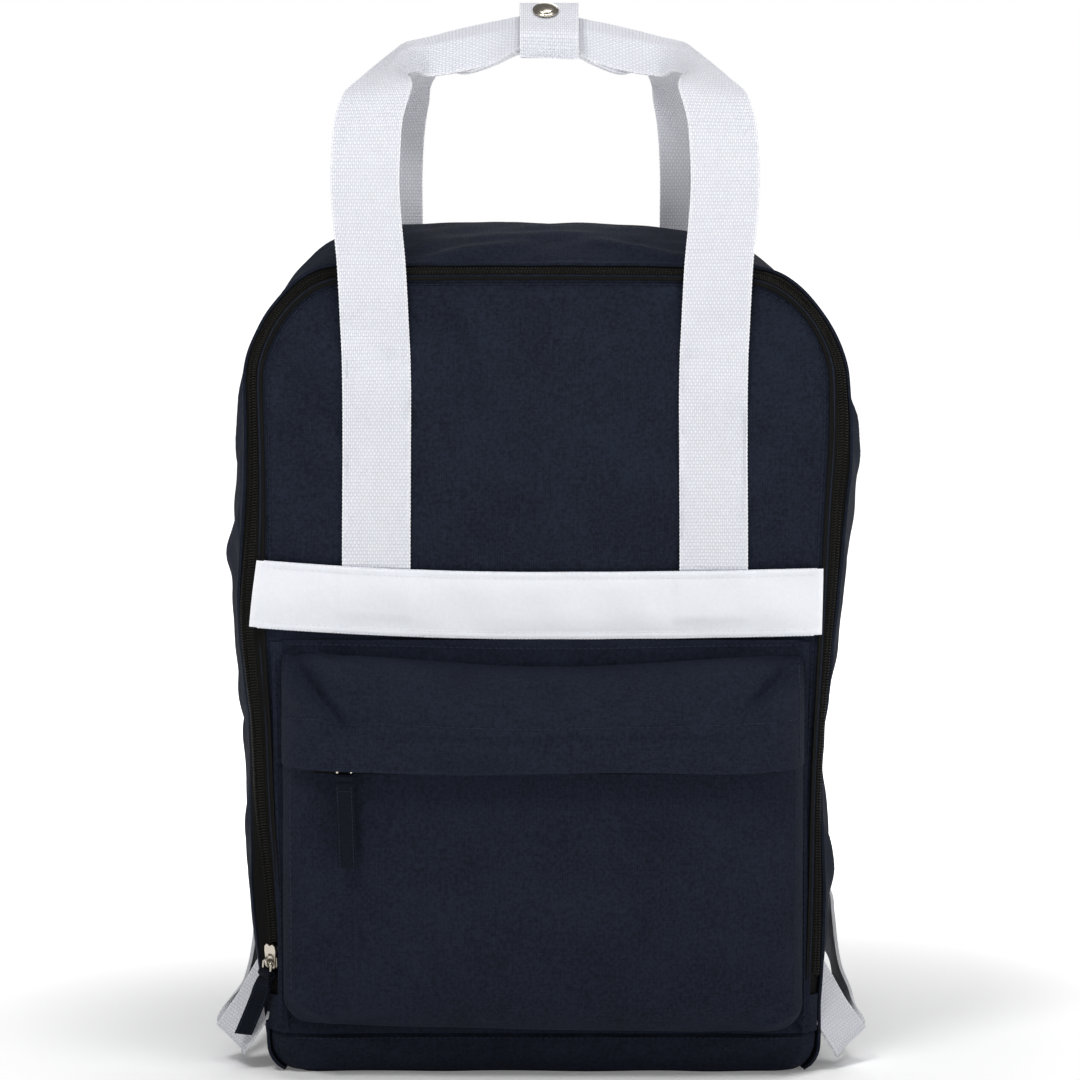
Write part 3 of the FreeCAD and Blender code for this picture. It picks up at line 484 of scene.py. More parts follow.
def arch(share, sizes, offset=0.0):
    """x and z on an outline: share runs from the left foot (0) over the top to the right (1)."""
    low, high, top, corner, bow = np.moveaxis(sizes, -1, 0)
    share = np.asarray(share, float)
    fold = 0.5 - abs(share - 0.5)
    shoulder = top - corner
    s = np.clip(fold / SIDE_SHARE, 0, 1)
    z_side = FOOT_Z + (shoulder - FOOT_Z) * s
    x_side = low + (high - low) * z_side / shoulder + 4 * bow * s * (1 - s) + offset
    angle = np.clip((fold - SIDE_SHARE) / CORNER_SHARE, 0, 1) * math.pi / 2
    x_corner = high - corner + (corner + offset) * np.cos(angle)
    z_corner = shoulder + (corner + offset) * np.sin(angle)
    inner = np.clip((fold - SIDE_SHARE - CORNER_SHARE) / TOP_SHARE, 0, 1)
    on_side = fold < SIDE_SHARE
    on_corner = fold < SIDE_SHARE + CORNER_SHARE
    x = np.where(on_side, x_side, np.where(on_corner, x_corner, (high - corner) * (1 - inner)))
    z = np.where(on_side, z_side, np.where(on_corner, z_corner, top + offset))
    return np.where(share < 0.5, -x, x), z


def share_at(z, sizes=FRONT):
    """Share of the arch at a height on the left side."""
    return SIDE_SHARE * (z - FOOT_Z) / (sizes[2] - sizes[3] - FOOT_Z)


STRIP_ACROSS = unit(np.array([EDGE[1] - FRONT[1], EDGE_Y - FRONT_Y]))
STRIP_WIDTH = math.hypot(EDGE[1] - FRONT[1], EDGE_Y - FRONT_Y)


def strip_point(share, across, height):
    """Point by the main zip: its distance from the front panel's edge, and height off the strip."""
    share, across, height = np.broadcast_arrays(share, across, height)
    y = FRONT_Y + STRIP_ACROSS[1] * across - STRIP_ACROSS[0] * height
    sizes = FRONT + (EDGE - FRONT) * ((y - FRONT_Y) / (EDGE_Y - FRONT_Y))[..., None]
    x, z = arch(share, sizes, height * STRIP_WIDTH / (EDGE_Y - FRONT_Y))
    return surface(x, y, z)


# ---------------------------------------------------------------- how the filled cloth settles

# folds: start, end, width, height, direction they stand out in
UP_FRONT = (0, -0.5, 0.86)
FOLDS = (
    ((-60, -52, 386), (-8, -38, 396), 4.5, 1.5, UP_FRONT),
    ((-40, -30, 397), (34, -22, 399), 6.0, 1.1, (0, 0, 1)),
    ((70, -50, 384), (24, -34, 397), 4.5, 1.7, UP_FRONT),
    ((-100, -40, 378), (-66, -50, 386), 4.0, 1.4, (-0.3, -0.4, 0.86)),
    ((100, -28, 380), (66, -46, 388), 4.5, 1.6, (0.3, -0.4, 0.86)),
    ((-138, -50, 330), (-141, -30, 290), 5.0, 1.8, (-1, 0, 0)),
    ((-141, -48, 262), (-146, -8, 236), 7.0, 2.0, (-1, 0, 0)),
    ((-138, -50, 130), (-140, -20, 96), 6.0, 1.5, (-1, 0, 0)),
    ((-137, -30, 150), (-141, 20, 190), 9.0, -1.8, (-1, 0, 0)),
    ((141, -50, 318), (144, -24, 286), 5.0, 1.8, (1, 0, 0)),
    ((136, -50, 205), (141, -14, 176), 6.0, -2.0, (1, 0, 0)),
    ((136, -48, 118), (138, -16, 84), 6.0, 1.8, (1, 0, 0)),
    ((138, -20, 230), (142, 30, 200), 10.0, -1.8, (1, 0, 0)),
) + tuple(
    ((x_start, FRONT_Y, z_start), (x_end, FRONT_Y, z_end), width, height, FORWARD)
    for x_start, z_start, x_end, z_end, width, height in (
        (-116, 352, -66, 318, 7.0, 1.8), (-118, 330, -84, 296, 6.0, -1.6),
        (-56, 376, -14, 336, 6.0, 1.8), (-46, 372, -34, 312, 5.5, -1.6),
        (-30, 340, -6, 300, 8.0, 1.2), (62, 376, 26, 338, 6.0, 1.7),
        (58, 350, 44, 304, 6.0, -1.3), (116, 352, 98, 312, 7.0, 1.8),
        (124, 300, 100, 258, 8.0, -1.7), (-124, 306, -104, 262, 8.0, -1.6),
        (-52, 300, -47, 246, 7.0, 1.3), (60, 290, 52, 246, 7.0, 1.2),
        (-112, 20, -60, 9, 4.0, 1.2), (-40, 8, 20, 13, 4.5, 0.8), (112, 19, 66, 9, 4.0, 1.2)))
FOLD_GAIN = 1.7
WAVE_COUNT = 9
WAVE_WAYS = rng.normal(size=(WAVE_COUNT, 3))
WAVES = unit(WAVE_WAYS) / rng.uniform(16.0, 46.0, size=(WAVE_COUNT, 1)) * 2 * math.pi
PHASES = rng.uniform(0, 2 * math.pi, size=WAVE_COUNT)


def unevenness(points, scale=1.0):
    """Sum of long waves in several directions."""
    return np.sin(points @ (WAVES * scale).T + PHASES).sum(-1)


def fold_height(points, start, end, width, height):
    """How far a soft fold between two places lifts the cloth, at places given likewise."""
    start, end = np.asarray(start, float), np.asarray(end, float)
    run = end - start
    share = ((points - start) @ run) / (run @ run)
    nearest = start + np.clip(share, 0, 1)[..., None] * run
    away = np.linalg.norm(points - nearest, axis=-1)
    ends = smooth_step(-0.25, 0.3, share) * smooth_step(1.25, 0.7, share)
    return height * hump(away, 0, width) * ends


def side_swell(x, y, z):
    """How much further out the filled sides stand, on the left and on the right."""
    left = 4.8 * hump(z, 218, 75) + 3.8 * hump(z, 75, 50)
    right = 4.0 * hump(z, 285, 36) - 7.0 * hump(z, 148, 48) - 2.2 * hump(z, 25, 34)
    left_zip = 8.0 * hump(z, 212, 50) + 4.2 * hump(z, 130, 38)
    right_zip = 3.8 * hump(z, 300, 34) + 1.4 * hump(z, 240, 30) - 2.6 * hump(z, 140, 50)
    wall = np.where(x < 0, left + 2.6 * hump(z, 105, 42) * hump(y, -54, 12), right)
    strip = np.where(x < 0, left_zip, right_zip) * (0.42 + 0.58 * smooth_step(-65, -60, y))
    swell = strip + (wall - strip) * smooth_step(-59, -53, y)
    return swell * np.clip(abs(x) / 135, 0, 1.1) ** 3


def settle(points):
    """Moves points of the plain shape to where the filled, hanging cloth carries them."""
    plain = np.array(points, float)
    p = plain.copy()
    x, y, z = np.moveaxis(plain, -1, 0)
    side = np.sign(x)
    # top corners slump
    rx, rz = abs(x) - 74.0, z - 305.0
    angle = np.degrees(np.arctan2(rz, rx))
    far = np.clip(np.hypot(rx, rz) / 92.0, 0, 1.15) ** 2
    deep = np.where(x < 0, 11.5, 16.0)
    weight = np.where(x < 0, hump(angle, 45, 32), hump(angle, 52, 35)) * far
    amount = (4.0 * smooth_step(14, 40, angle) + (deep - 4.0) * smooth_step(-62, -25, y)) * weight
    p[..., 0] -= side * amount * np.cos(np.radians(angle))
    p[..., 2] -= amount * np.sin(np.radians(angle))
    # the top sags between the corners, most at the zip
    sag = np.interp(y, [-65, -56, -30, 65], [2.5, 5.5, 2.5, 2.0])
    p[..., 2] -= sag * smooth_step(335, 380, z) * smooth_step(115, 80, abs(x))
    p[..., 0] += side * side_swell(x, y, z)
    # rounded bottom edges
    for axis, reach, radius in ((0, 129.0, 13.0), (1, 65.0, 8.0)):
        drop = np.clip(radius - z, 0, radius)
        pull = radius - np.sqrt(radius ** 2 - drop ** 2)
        share = p[..., axis] / reach
        p[..., axis] -= pull * np.sign(share) * np.clip(abs(share), 0, 1.05) ** 4
    # the front swells above the band
    swell = 3.2 * np.sin(math.pi * np.clip((z - 214) / 160, 0, 1)) * (1 - (x / 130) ** 2).clip(0)
    p[..., 1] -= swell * smooth_step(-40, -60, y)
    for start, end, width, height, direction in FOLDS:
        lift = fold_height(plain, start, end, width, height * FOLD_GAIN)
        p += lift[..., None] * unit(np.array(direction, float))
    # slight unevenness of soft cloth, which leaves the run of the main slider alone
    waves = unevenness(plain) * 0.17
    calm = 1 - (hump(z, 55, 30) + hump(z, 326, 24)) * (x < -100)
    front = smooth_step(-50, -60, y)
    p[..., 1] -= waves * calm * front
    p[..., 0] += side * waves * calm * (1 - front) * smooth_step(60, 110, abs(x))
    p[..., 2] += waves * (1 - front) * smooth_step(340, 380, z)
    return p


# ---------------------------------------------------------------- body cloth

def gusset():
    """Side wall and top in one piece of cloth, with a hemmed front edge and a rolled back edge."""
    share = np.linspace(0, 1, 430)[None, :]
    y = np.concatenate([np.linspace(-56.6, -53, 7), np.linspace(-51.5, 61, 54),
                        np.linspace(62, 65.6, 6)])[:, None]
    open_part = smooth_step(0.005, 0.04, share) * smooth_step(0.21, 0.13, share)
    y = y + 2.3 * open_part * smooth_step(-50, -56, y)
    sizes = section_at(y.clip(EDGE_Y, BACK_Y))
    roll = 3.0 - np.sqrt(9.0 - (np.clip(y - 62, 0, 2.9)) ** 2)
    hem = 0.5 * smooth_step(-51, -54.5, y) - 0.5 * hump(y, -51.3, 0.9)
    x, z = arch(np.broadcast_to(share, y.shape), sizes, hem - roll)
    sheet("gusset_cloth", settle(surface(x, y, z)), "bag", "navy_cloth", "gusset", flip=True)
    rows = []
    for y_line in (-51.3, 60.5):
        x, z = arch(np.linspace(0.004, 0.996, 500), section_at(y_line), -0.25)
        rows.append((settle(surface(x, y_line, z)), unit(surface(x, 0, np.maximum(z - 300, 0)))))
    stitches("gusset_stitches", rows, "bag", "navy_cloth")


def inset_sizes(sizes, inset):
    return np.append(sizes[:4] - inset, 0.0)


def edge_distance(x, z, sizes, bottom):
    """Distance inwards from the outline of a panel."""
    low, high, top, corner = sizes[:4]
    shoulder = top - corner
    half = low + (high - low) * np.minimum(z, shoulder) / shoulder
    in_corner = (abs(x) > high - corner) & (z > shoulder)
    round_part = corner - np.hypot(abs(x) - (high - corner), z - shoulder)
    return np.minimum(np.where(in_corner, round_part, np.minimum(half - abs(x), top - z)),
                      z - bottom)


def panel_grid(sizes, y, inset, bottom, rows, cols, relief=None):
    """Grid over a panel with the outline of a section, moved inwards by inset."""
    shape = inset_sizes(sizes, inset)
    half, z = arch(np.linspace(share_at(bottom, sizes), SIDE_SHARE + CORNER_SHARE, rows), shape)
    grid = surface(-half[:, None] * crowded(cols, 0.55)[None, :], y, z[:, None])
    if relief is not None:
        x, z = grid[..., 0], grid[..., 2]
        grid[..., 1] += relief(x, z, edge_distance(x, z, shape, bottom))
    return grid


def outline_path(sizes, inset, y, bottom, count=420):
    """Seam line that runs around a panel, from its lower left to its lower right."""
    first = share_at(bottom, sizes)
    x, z = arch(np.linspace(first, 1 - first, count), inset_sizes(sizes, inset))
    return surface(x, y, z)


PANEL_OVERLAP = 3.0


def front_relief(x, z, inside):
    """Turned edge and the groove of the seam beside it."""
    return 0.9 * np.exp(-inside / 0.9) + 0.3 * hump(inside, 4.6, 0.8)


def front_panel():
    grid = panel_grid(FRONT, FRONT_Y, -PANEL_OVERLAP, FOLD_Z - 1.4, 190, 170, front_relief)
    sheet("front_panel_cloth", settle(grid), "front", "navy_cloth", "front_panel")
    seam = settle(outline_path(FRONT, 4.6 - PANEL_OVERLAP, FRONT_Y, FOLD_Z + 3))
    stitches("front_panel_stitches", [(seam, FORWARD)], "front", "navy_cloth")
    inner_y = span("front_lining")[1][1]
    grid = settle(panel_grid(FRONT, inner_y, 4.0, FOLD_Z + 1.2, 90, 80))
    grid[..., 1] = np.maximum(grid[..., 1] + 0.5, inner_y)
    sheet("front_lining_cloth", grid, "front", "navy_lining", "front_lining", thick=LINING,
          flip=True)


def back_relief(x, z, inside):
    """Padded back: it swells between its bound edge and a stitched channel up the middle."""
    pillow = 1 - np.exp(-np.maximum(inside - 5, 0) / 13)
    channel = hump(x, 0, 5.0) * smooth_step(40, 70, z) * smooth_step(330, 300, z)
    return -0.9 * np.exp(-inside / 1.0) - 0.5 * hump(inside, 5, 0.9) + pillow * (3.4 - 2.6 * channel)


def back_panel():
    """Padded back cloth, and the foam and lining behind it, which keep their own depths."""
    grid = panel_grid(BACK, BACK_Y, CLOTH + 0.2, 1.6, 150, 130, back_relief)
    sheet("back_panel_cloth", settle(grid), "bag", "navy_cloth", "back_panel", flip=True)
    lines = [(settle(outline_path(BACK, 6.6, BACK_Y - 0.3, 8)), BACKWARD)]
    for x in (-2.2, 2.2):
        lines.append((settle(surface(x, BACK_Y + 0.7, np.linspace(66, 304, 120))), BACKWARD))
    stitches("back_panel_stitches", lines, "bag", "navy_cloth")
    for name, node, inset, thick, slot, gap in (
            ("back_foam_sheet", "back_foam", 9.4, 6.0, "foam", 0.05),
            ("back_lining_cloth", "back_lining", 3.4, LINING, "navy_lining", 0.0)):
        low = span(node)[0]
        grid = panel_grid(BACK, low[1] + gap, inset, low[2], 70, 60)
        moved = settle(grid)
        moved[..., 1] = grid[..., 1] + 0.25 * (moved[..., 1] - grid[..., 1])
        sheet(name, moved, "bag", slot, node, thick=thick)


def front_foot():
    """The fixed strip under the front panel, round both lower corners."""
    z = np.concatenate([[1.0, 2.0], np.linspace(3.2, 21.6, 16)])[:, None]
    turn = np.linspace(0, 1, 9)
    left = np.stack([-(129 - 8 * turn), EDGE_Y + (FRONT_Y - EDGE_Y) * np.sqrt(turn)], -1)
    flat = np.stack([np.linspace(-120.5, 120.5, 120), np.full(120, FRONT_Y)], -1)
    plan = np.concatenate([left, flat, left[::-1] * [-1, 1]])[None]
    lean = (EDGE[1] - EDGE[0]) / (EDGE[2] - EDGE[3])
    x = plan[..., 0] * (1 + z * lean / 129)
    y = plan[..., 1] + 2.2 * smooth_step(17.5, 20.5, z) + 5.0 * (1 - z / 22)
    sheet("front_foot_cloth", settle(surface(x, y, z)), "bag", "navy_cloth", "front_foot")
    line = settle(surface(np.linspace(-119, 119, 200), FRONT_Y, 17.6))
    stitches("front_foot_stitches", [(line, FORWARD)], "bag", "navy_cloth")


def base():
    """Bottom of the bag, with round corners and slightly uneven."""
    radius = 12.0
    y = np.linspace(-64.5, 64.5, 60)[:, None]
    shrink = np.clip(abs(y) - (64.5 - radius), 0, radius)
    half = 128.5 - radius + np.sqrt(radius ** 2 - shrink ** 2)
    grid = surface(half * np.linspace(-1, 1, 110)[None, :], y, 0.0)
    moved = settle(grid)
    moved[..., 2] = 0.25 + 0.2 * np.sin(grid[..., 0] * 0.09) * np.sin(grid[..., 1] * 0.12)
    sheet("base_cloth", moved, "bag", "navy_cloth", "base_panel", flip=True)


def zip_ends():
    """Cloth that closes the gap below each end of the main zip, and the tab over the zip's end."""
    for side, name in SIDES:
        for piece, low, high, rows, near, far, cols in (
                ("gore", 20.2, 37.5, 18, -1.4, STRIP_WIDTH + 0.2, 15),
                ("tab", 31.0, ZIP_END_Z + 1.5, 16, 0.6, STRIP_WIDTH, 12)):
            z = np.linspace(low, high, rows)[:, None]
            across = np.linspace(near, far, cols)[None, :]
            share = share_at(z) if side < 0 else 1 - share_at(z)
            if piece == "gore":
                tuck = 0.9 + 1.1 * np.sin(math.pi * np.clip(across / STRIP_WIDTH, 0, 1))
                bend = ("bag", "front", (0, EDGE_Y + 1, 35), (0, FRONT_Y - 0.5, 35))
                sheet(f"zip_end_gore_{name}", settle(strip_point(share, across, tuck)), bend,
                      "navy_cloth", thick=1.2, flip=side < 0)
            else:
                rise = 0.35 + 0.02 * (z - low)
                nodes = ["zip_end_stops"] if side < 0 else []
                sheet(f"zip_end_tab_{name}", settle(strip_point(share, across, rise)), "bag",
                      "zip_tape", *nodes, thick=0.9, flip=side < 0)


# ---------------------------------------------------------------- main zip

def main_zip():
    """Ribbed tapes and coil halves around the front."""
    middle = STRIP_WIDTH / 2
    low_share = share_at(ZIP_END_Z - 2)
    slider_share = share_at(63.0)
    pitch = 1.35
    for part, body, near, far, sign, left in (
            ("front", "front", -0.8, middle - 0.6, -1, slider_share),
            ("gusset", "bag", middle + 0.6, STRIP_WIDTH - 0.2, 1, low_share)):
        share = np.linspace(left, 1 - low_share, 520)[None, :]
        across = np.linspace(near, far, 8)[:, None]
        sheet(f"zip_tape_{part}_cloth", settle(strip_point(share, across, 0.9)), body, "zip_tape",
              f"zip_tape_{part}", thick=0.7, flip=True)
        if sign > 0:
            left += 0.003

        def place(run, across, height):
            path = settle(strip_point(left + run / ARCH_LENGTH, across, height))
            # one half starts half a turn later, so that the two halves mesh
            return path[5:] if sign > 0 else path
        count = int((1 - left - low_share) * ARCH_LENGTH / pitch)
        zip_coil(f"zip_coil_{part}", body, place, count, pitch, middle + sign * 1.55, 1.25, 0.36,
                 sign)


# ---------------------------------------------------------------- webbing

WIDE_HALF = 16.0
NARROW_HALF = 12.5


def webbing(name, grid, motion, *nodes, thick=1.6):
    """Woven strip: columns run across it, rows along it; its selvedges are slightly toothed."""
    run = lengths(grid[:, grid.shape[1] // 2])
    tooth = 0.13 * np.sin(2 * math.pi * run / 1.8)[:, None]
    for column, neighbour in ((0, 1), (-1, -2)):
        out = unit(grid[:, column] - grid[:, neighbour])
        grid[:, column] = grid[:, column] + out * tooth
    sheet(name, grid, motion, "white_webbing", *nodes, thick=thick, both_ways=True, wear=1.0)


def ribbon(path, offset):
    """Strip grid that lies along a path, with its width along x."""
    return path[:, None] + surface(offset, 0, 0)[None]


def strip_grid(stations, half, cols=23):
    """Middle surface of a strip through stations of outer edge, middle and inner edge."""
    stations = np.asarray(stations, float)
    knots = lengths(stations[:, 1])
    fine = spline(knots, stations, np.linspace(0, knots[-1], 1200))
    run = lengths(fine[:, 1])
    at = np.linspace(0, run[-1], int(run[-1] / 0.6))
    outer, middle, inner = [along(fine[:, part], run, at) for part in range(3)]
    outer = unit(outer - middle) * half
    inner = unit(inner - middle) * half
    q = np.linspace(-1, 1, cols)
    soft = 0.1
    weight_outer = np.where(q < -soft, -q, np.where(q > soft, 0, (q - soft) ** 2 / (4 * soft)))
    return (middle[:, None] + weight_outer[None, :, None] * outer[:, None]
            + weight_outer[None, ::-1, None] * inner[:, None])


def mirrored(stations):
    """Stations of the left half followed by those of the right half."""
    left = np.asarray(stations, float)
    centre = left[-1:] * [0, 1, 1]
    return np.concatenate([left, centre, left[::-1] * [-1, 1, 1]])


def upright(x, y, z):
    """Station of a strip that hangs straight and faces the front."""
    return [(x - WIDE_HALF, y, z), (x, y, z), (x + WIDE_HALF, y, z)]


HANDLE_STITCH = {"pitch": 2.4, "long": 1.7, "radius": 0.22}
THREAD_Y = -67.1


def front_handle():
    """Front webbing handle: sewn to the panel, free above, rolled over into the grip."""
    x = 78.5
    base_y, free_y = -66.2, -69.6
    sewn = [upright(-x + shift, base_y, z) for z, shift in (
        (214, 0.0), (250, -0.2), (300, -0.2), (334, -0.3), (341, -0.5))]
    free = [upright(-x + shift, y, z) for z, y, shift in (
        (352, -68.2, -1.0), (366, free_y, -1.6), (384, free_y, -2.6), (404, free_y, -4.4),
        (422, free_y, -5.4), (438, -68.6, -4.8))]
    rolled = [
        ((-97.3, -65.5, 449.5), (-82.3, -67, 450.0), (-67.2, -67, 450.4)),
        ((-92.6, -60, 461.0), (-79.0, -63, 461.0), (-66.3, -65, 461.5)),
        ((-86.0, -45, 468.5), (-75.2, -54, 469.0), (-65.6, -61, 468.6)),
        ((-78.5, -25, 476.0), (-71.4, -38, 477.0), (-65.0, -51, 471.0)),
        ((-72.4, -8, 482.0), (-66.6, -25, 482.2), (-62.6, -40, 470.4)),
        ((-66.4, 3, 486.6), (-61.2, -15, 484.4), (-59.0, -28, 469.6)),
        ((-56.0, 8, 489.0), (-54.2, -9.5, 484.8), (-55.2, -17, 469.6)),
        ((-46.0, 9, 491.6), (-45.4, -8, 486.6), (-45.8, -13.6, 471.4)),
        ((-35.2, 9, 494.0), (-35.2, -7, 488.6), (-35.2, -12.6, 473.6)),
        ((-23.0, 9, 496.4), (-23.0, -6.6, 490.9), (-23.0, -14.4, 477.6)),
        ((-11.3, 9, 498.4), (-11.3, -6, 492.8), (-11.3, -18.6, 483.6)),
    ]
    grid = strip_grid(mirrored(settle(sewn).tolist() + free + rolled), WIDE_HALF)
    bend = ("front", "front_grip", (0, -69, 340), (0, -69, 350))
    webbing("front_handle_webbing", grid, bend, "front_handle_base", "front_handle")
    rows = []
    for z in (344.0, 340.6):
        for side in (-1, 1):
            row = np.linspace(side * x - 14.5, side * x + 14.5, 20)
            rows.append((settle(surface(row, THREAD_Y, z)), FORWARD))
    for side in (-1, 1):
        for edge in (-14.2, 14.2):
            row = surface(side * x + edge, THREAD_Y, np.linspace(243, 340, 60))
            rows.append((settle(row), FORWARD))
    stitches("front_handle_stitches", rows, "front", "white_webbing", **HANDLE_STITCH)


def back_handle():
    """Back webbing handle, whose grip lies just under the front one's."""
    x = 72.5
    hanging = [upright(-x, y, z) for z, y in (
        (250, 68.4), (300, 68.4), (334, 68.4), (341, 68.4), (354, 68.4), (372, 69.6), (400, 69.6),
        (425, 69.2))]
    rolled = [
        ((-87.5, 66, 440), (-71.5, 67.5, 441), (-56.0, 67.5, 442)),
        ((-84.0, 58, 454), (-69.5, 62, 455), (-55.5, 64.5, 455)),
        ((-76.0, 42, 466), (-65.0, 50, 467), (-54.0, 59, 465)),
        ((-65.5, 24, 474), (-58.5, 36, 475), (-51.0, 48, 472)),
        ((-56.0, 8, 478), (-51.5, 22, 480), (-46.5, 36, 478)),
        ((-46.5, -5, 476), (-44.5, 8, 482.5), (-42.0, 23, 484.5)),
        ((-35.2, -10, 475.0), (-35.2, -4, 485.6), (-34.5, 12, 490.5)),
        ((-23.0, -12.4, 478.8), (-23.0, -4, 488.0), (-23.0, 11, 493.2)),
        ((-11.3, -16.4, 482.4), (-11.3, -4, 489.9), (-11.3, 10.5, 495.2)),
    ]
    stations = mirrored(hanging + rolled)
    shift = 3.5                 # the left half hangs a little further out
    low_part = smooth_step(482, 468, stations[..., 2])
    stations[..., 0] -= shift * low_part * (stations[..., 0] < 0)
    bend = ("bag", "back_grip", (0, 69, 340), (0, 69, 350))
    webbing("back_handle_webbing", strip_grid(stations, WIDE_HALF), bend, "back_handle_base",
            "back_handle")
    rows = []
    for z in (254, 340):
        for middle in (-x, x):
            ends = (middle - 14 - shift, middle + 14 - shift) if middle < 0 else (x - 14, x + 14)
            rows.append((surface(np.linspace(*ends, 20), 69.3, z), BACKWARD))
    stitches("back_handle_stitches", rows, "bag", "white_webbing", **HANDLE_STITCH)


KEEPER_X = 2.0
KEEPER_LONG = 27.0
KEEPER_LIFT = 1.8


def keeper():
    """Wrap around both grips: a sewn loop, and a flap that closes over its top and front."""
    loop = [(5.5, 498.4), (-4, 496.6), (-12, 493.4), (-18.5, 489.6), (-20.9, 486.5),
            (-21.0, 482), (-20.4, 479.2), (-17.5, 478.2), (-8, 480.6), (4, 485.4),
            (11.6, 489.2), (13.8, 491.6), (14.2, 494.8), (13.4, 497.2)]
    flap = [(15.9, 491.5), (16.2, 495.0), (15.0, 499.2), (11.0, 502.0), (4.0, 502.8),
            (-2.5, 501.6), (-8.5, 498.7), (-15.0, 494.3), (-20.6, 490.8), (-22.9, 488.4),
            (-23.1, 484.0), (-22.9, 477.4)]
    for part, profile, body, wider in (("loop", loop, "back_grip", 0.0), ("flap", flap, "keeper", 0.4)):
        path = even_path([(0, y, z + KEEPER_LIFT) for y, z in profile], 0.6)
        offset = np.linspace(-1, 1, 19) * (KEEPER_LONG / 2 + wider)
        grid = ribbon(path, offset + KEEPER_X)
        if part == "flap":
            end = smooth_step(-40, 0, np.arange(len(path)) - len(path) + 1)[:, None]
            grid[..., 2] -= 0.055 * (offset[None] + 4) * end
        webbing(f"keeper_{part}_webbing", grid, body, f"keeper_{part}")
    rows = []
    for height in (0.0, 1.6, 3.2):
        z = np.linspace(479.2, 477.9, 24) + height + KEEPER_LIFT
        rows.append((surface(KEEPER_X + np.linspace(-12.5, 12.5, 24), -24.0, z), FORWARD))
    stitches("keeper_stitches", rows, "keeper", "white_webbing", pitch=1.8, long=1.2, radius=0.25,
             lift=0.0)


def snap():
    """Press stud on the keeper: a domed cap with a rolled rim, and the stud under it."""
    tilt = math.radians(31)
    outward = np.array([0, -math.sin(tilt), math.cos(tilt)])
    spot = np.array([KEEPER_X - 1.6, -8.6, 499.0 + KEEPER_LIFT])
    turn = np.array(Matrix.Rotation(tilt, 3, "X"))
    dome = [(0.01, 0.0), (5.6, 0.0), (6.2, 0.25), (6.35, 0.7), (6.1, 1.15), (5.6, 1.3)]
    dome += [(5.4 * math.cos(a), 1.25 + 1.75 * math.sin(a)) for a in np.linspace(0.08, 1.5, 12)]
    dome.append((0.01, 3.0))
    stud = [(0.01, -3.2), (4.3, -3.2), (4.5, -2.8), (4.3, -2.5), (1.9, -2.4), (1.8, -1.0),
            (2.0, -0.5), (1.7, -0.2), (0.01, -0.1)]
    for name, node, body, profile, count, lift in (
            ("snap_cap_dome", "snap_cap", "keeper", dome, 48, 0.7),
            ("snap_stud_post", "snap_stud", "back_grip", stud, 32, 0.2)):
        radius, height = np.array(profile).T[..., None]
        angles = np.linspace(0, 2 * math.pi, count, endpoint=False)[None]
        points = surface(radius * np.cos(angles), radius * np.sin(angles), height).reshape(-1, 3)
        made = new_piece(name, points @ turn.T + spot + outward * lift,
                         ring_faces(len(profile), count, inward=True), LOOKS["nickel"], sharp=50)
        placed(made, body, "nickel", node)


def lower_straps():
    """Narrow webbing that leaves each lower front corner, folds and runs back to the adjuster."""
    route = (
        ((-125.5, -44.5, 53), (0.59, -0.73, -0.33)), ((-132.5, -46.0, 41), (0.59, -0.73, -0.33)),
        ((-139.3, -46.5, 29), (0.59, -0.73, -0.33)), ((-145.4, -46, 20.0), (0.6, -0.72, -0.35)),
        ((-148.8, -43.5, 14.6), (0.6, -0.70, -0.38)), ((-149.6, -38, 13.6), (0.58, -0.6, -0.5)),
        ((-148.6, -29, 16.0), (0.35, -0.25, -0.9)), ((-146.4, -15, 21.5), (0, 0.1, -1)),
        ((-143.6, 6, 28), (0, 0.3, -1)), ((-142.5, 32, 37), (0, 0.4, -1)),
        ((-141, 56, 49), (0.1, 0.5, -0.9)), ((-136, 69.5, 58), (0.4, 0.3, -0.8)),
        ((-124, 74, 71), (0.6, 0, -0.8)), ((-112, 74.5, 85), (0.75, 0, -0.65)),
        ((-104, 76.0, 98), (0.9, 0, -0.4)), ((-100, 77.2, 109), (1, 0, -0.1)),
    )
    for side, name in SIDES:
        middle = np.array([place for place, way in route], float)
        across = unit(np.array([way for place, way in route], float)) * NARROW_HALF
        if side > 0:
            middle[:7] += [3.6, 0.0, -1.5]
        stations = np.stack([middle - across, middle, middle + across], 1) * [-side, 1, 1]
        bend = ("bag", f"{name}_strap", (side * 134, 66, 60), (side * 104, 73, 98))
        webbing(f"lower_strap_{name}_webbing", strip_grid(stations, NARROW_HALF, 19), bend,
                f"lower_strap_{name}")


# ---------------------------------------------------------------- band and pocket

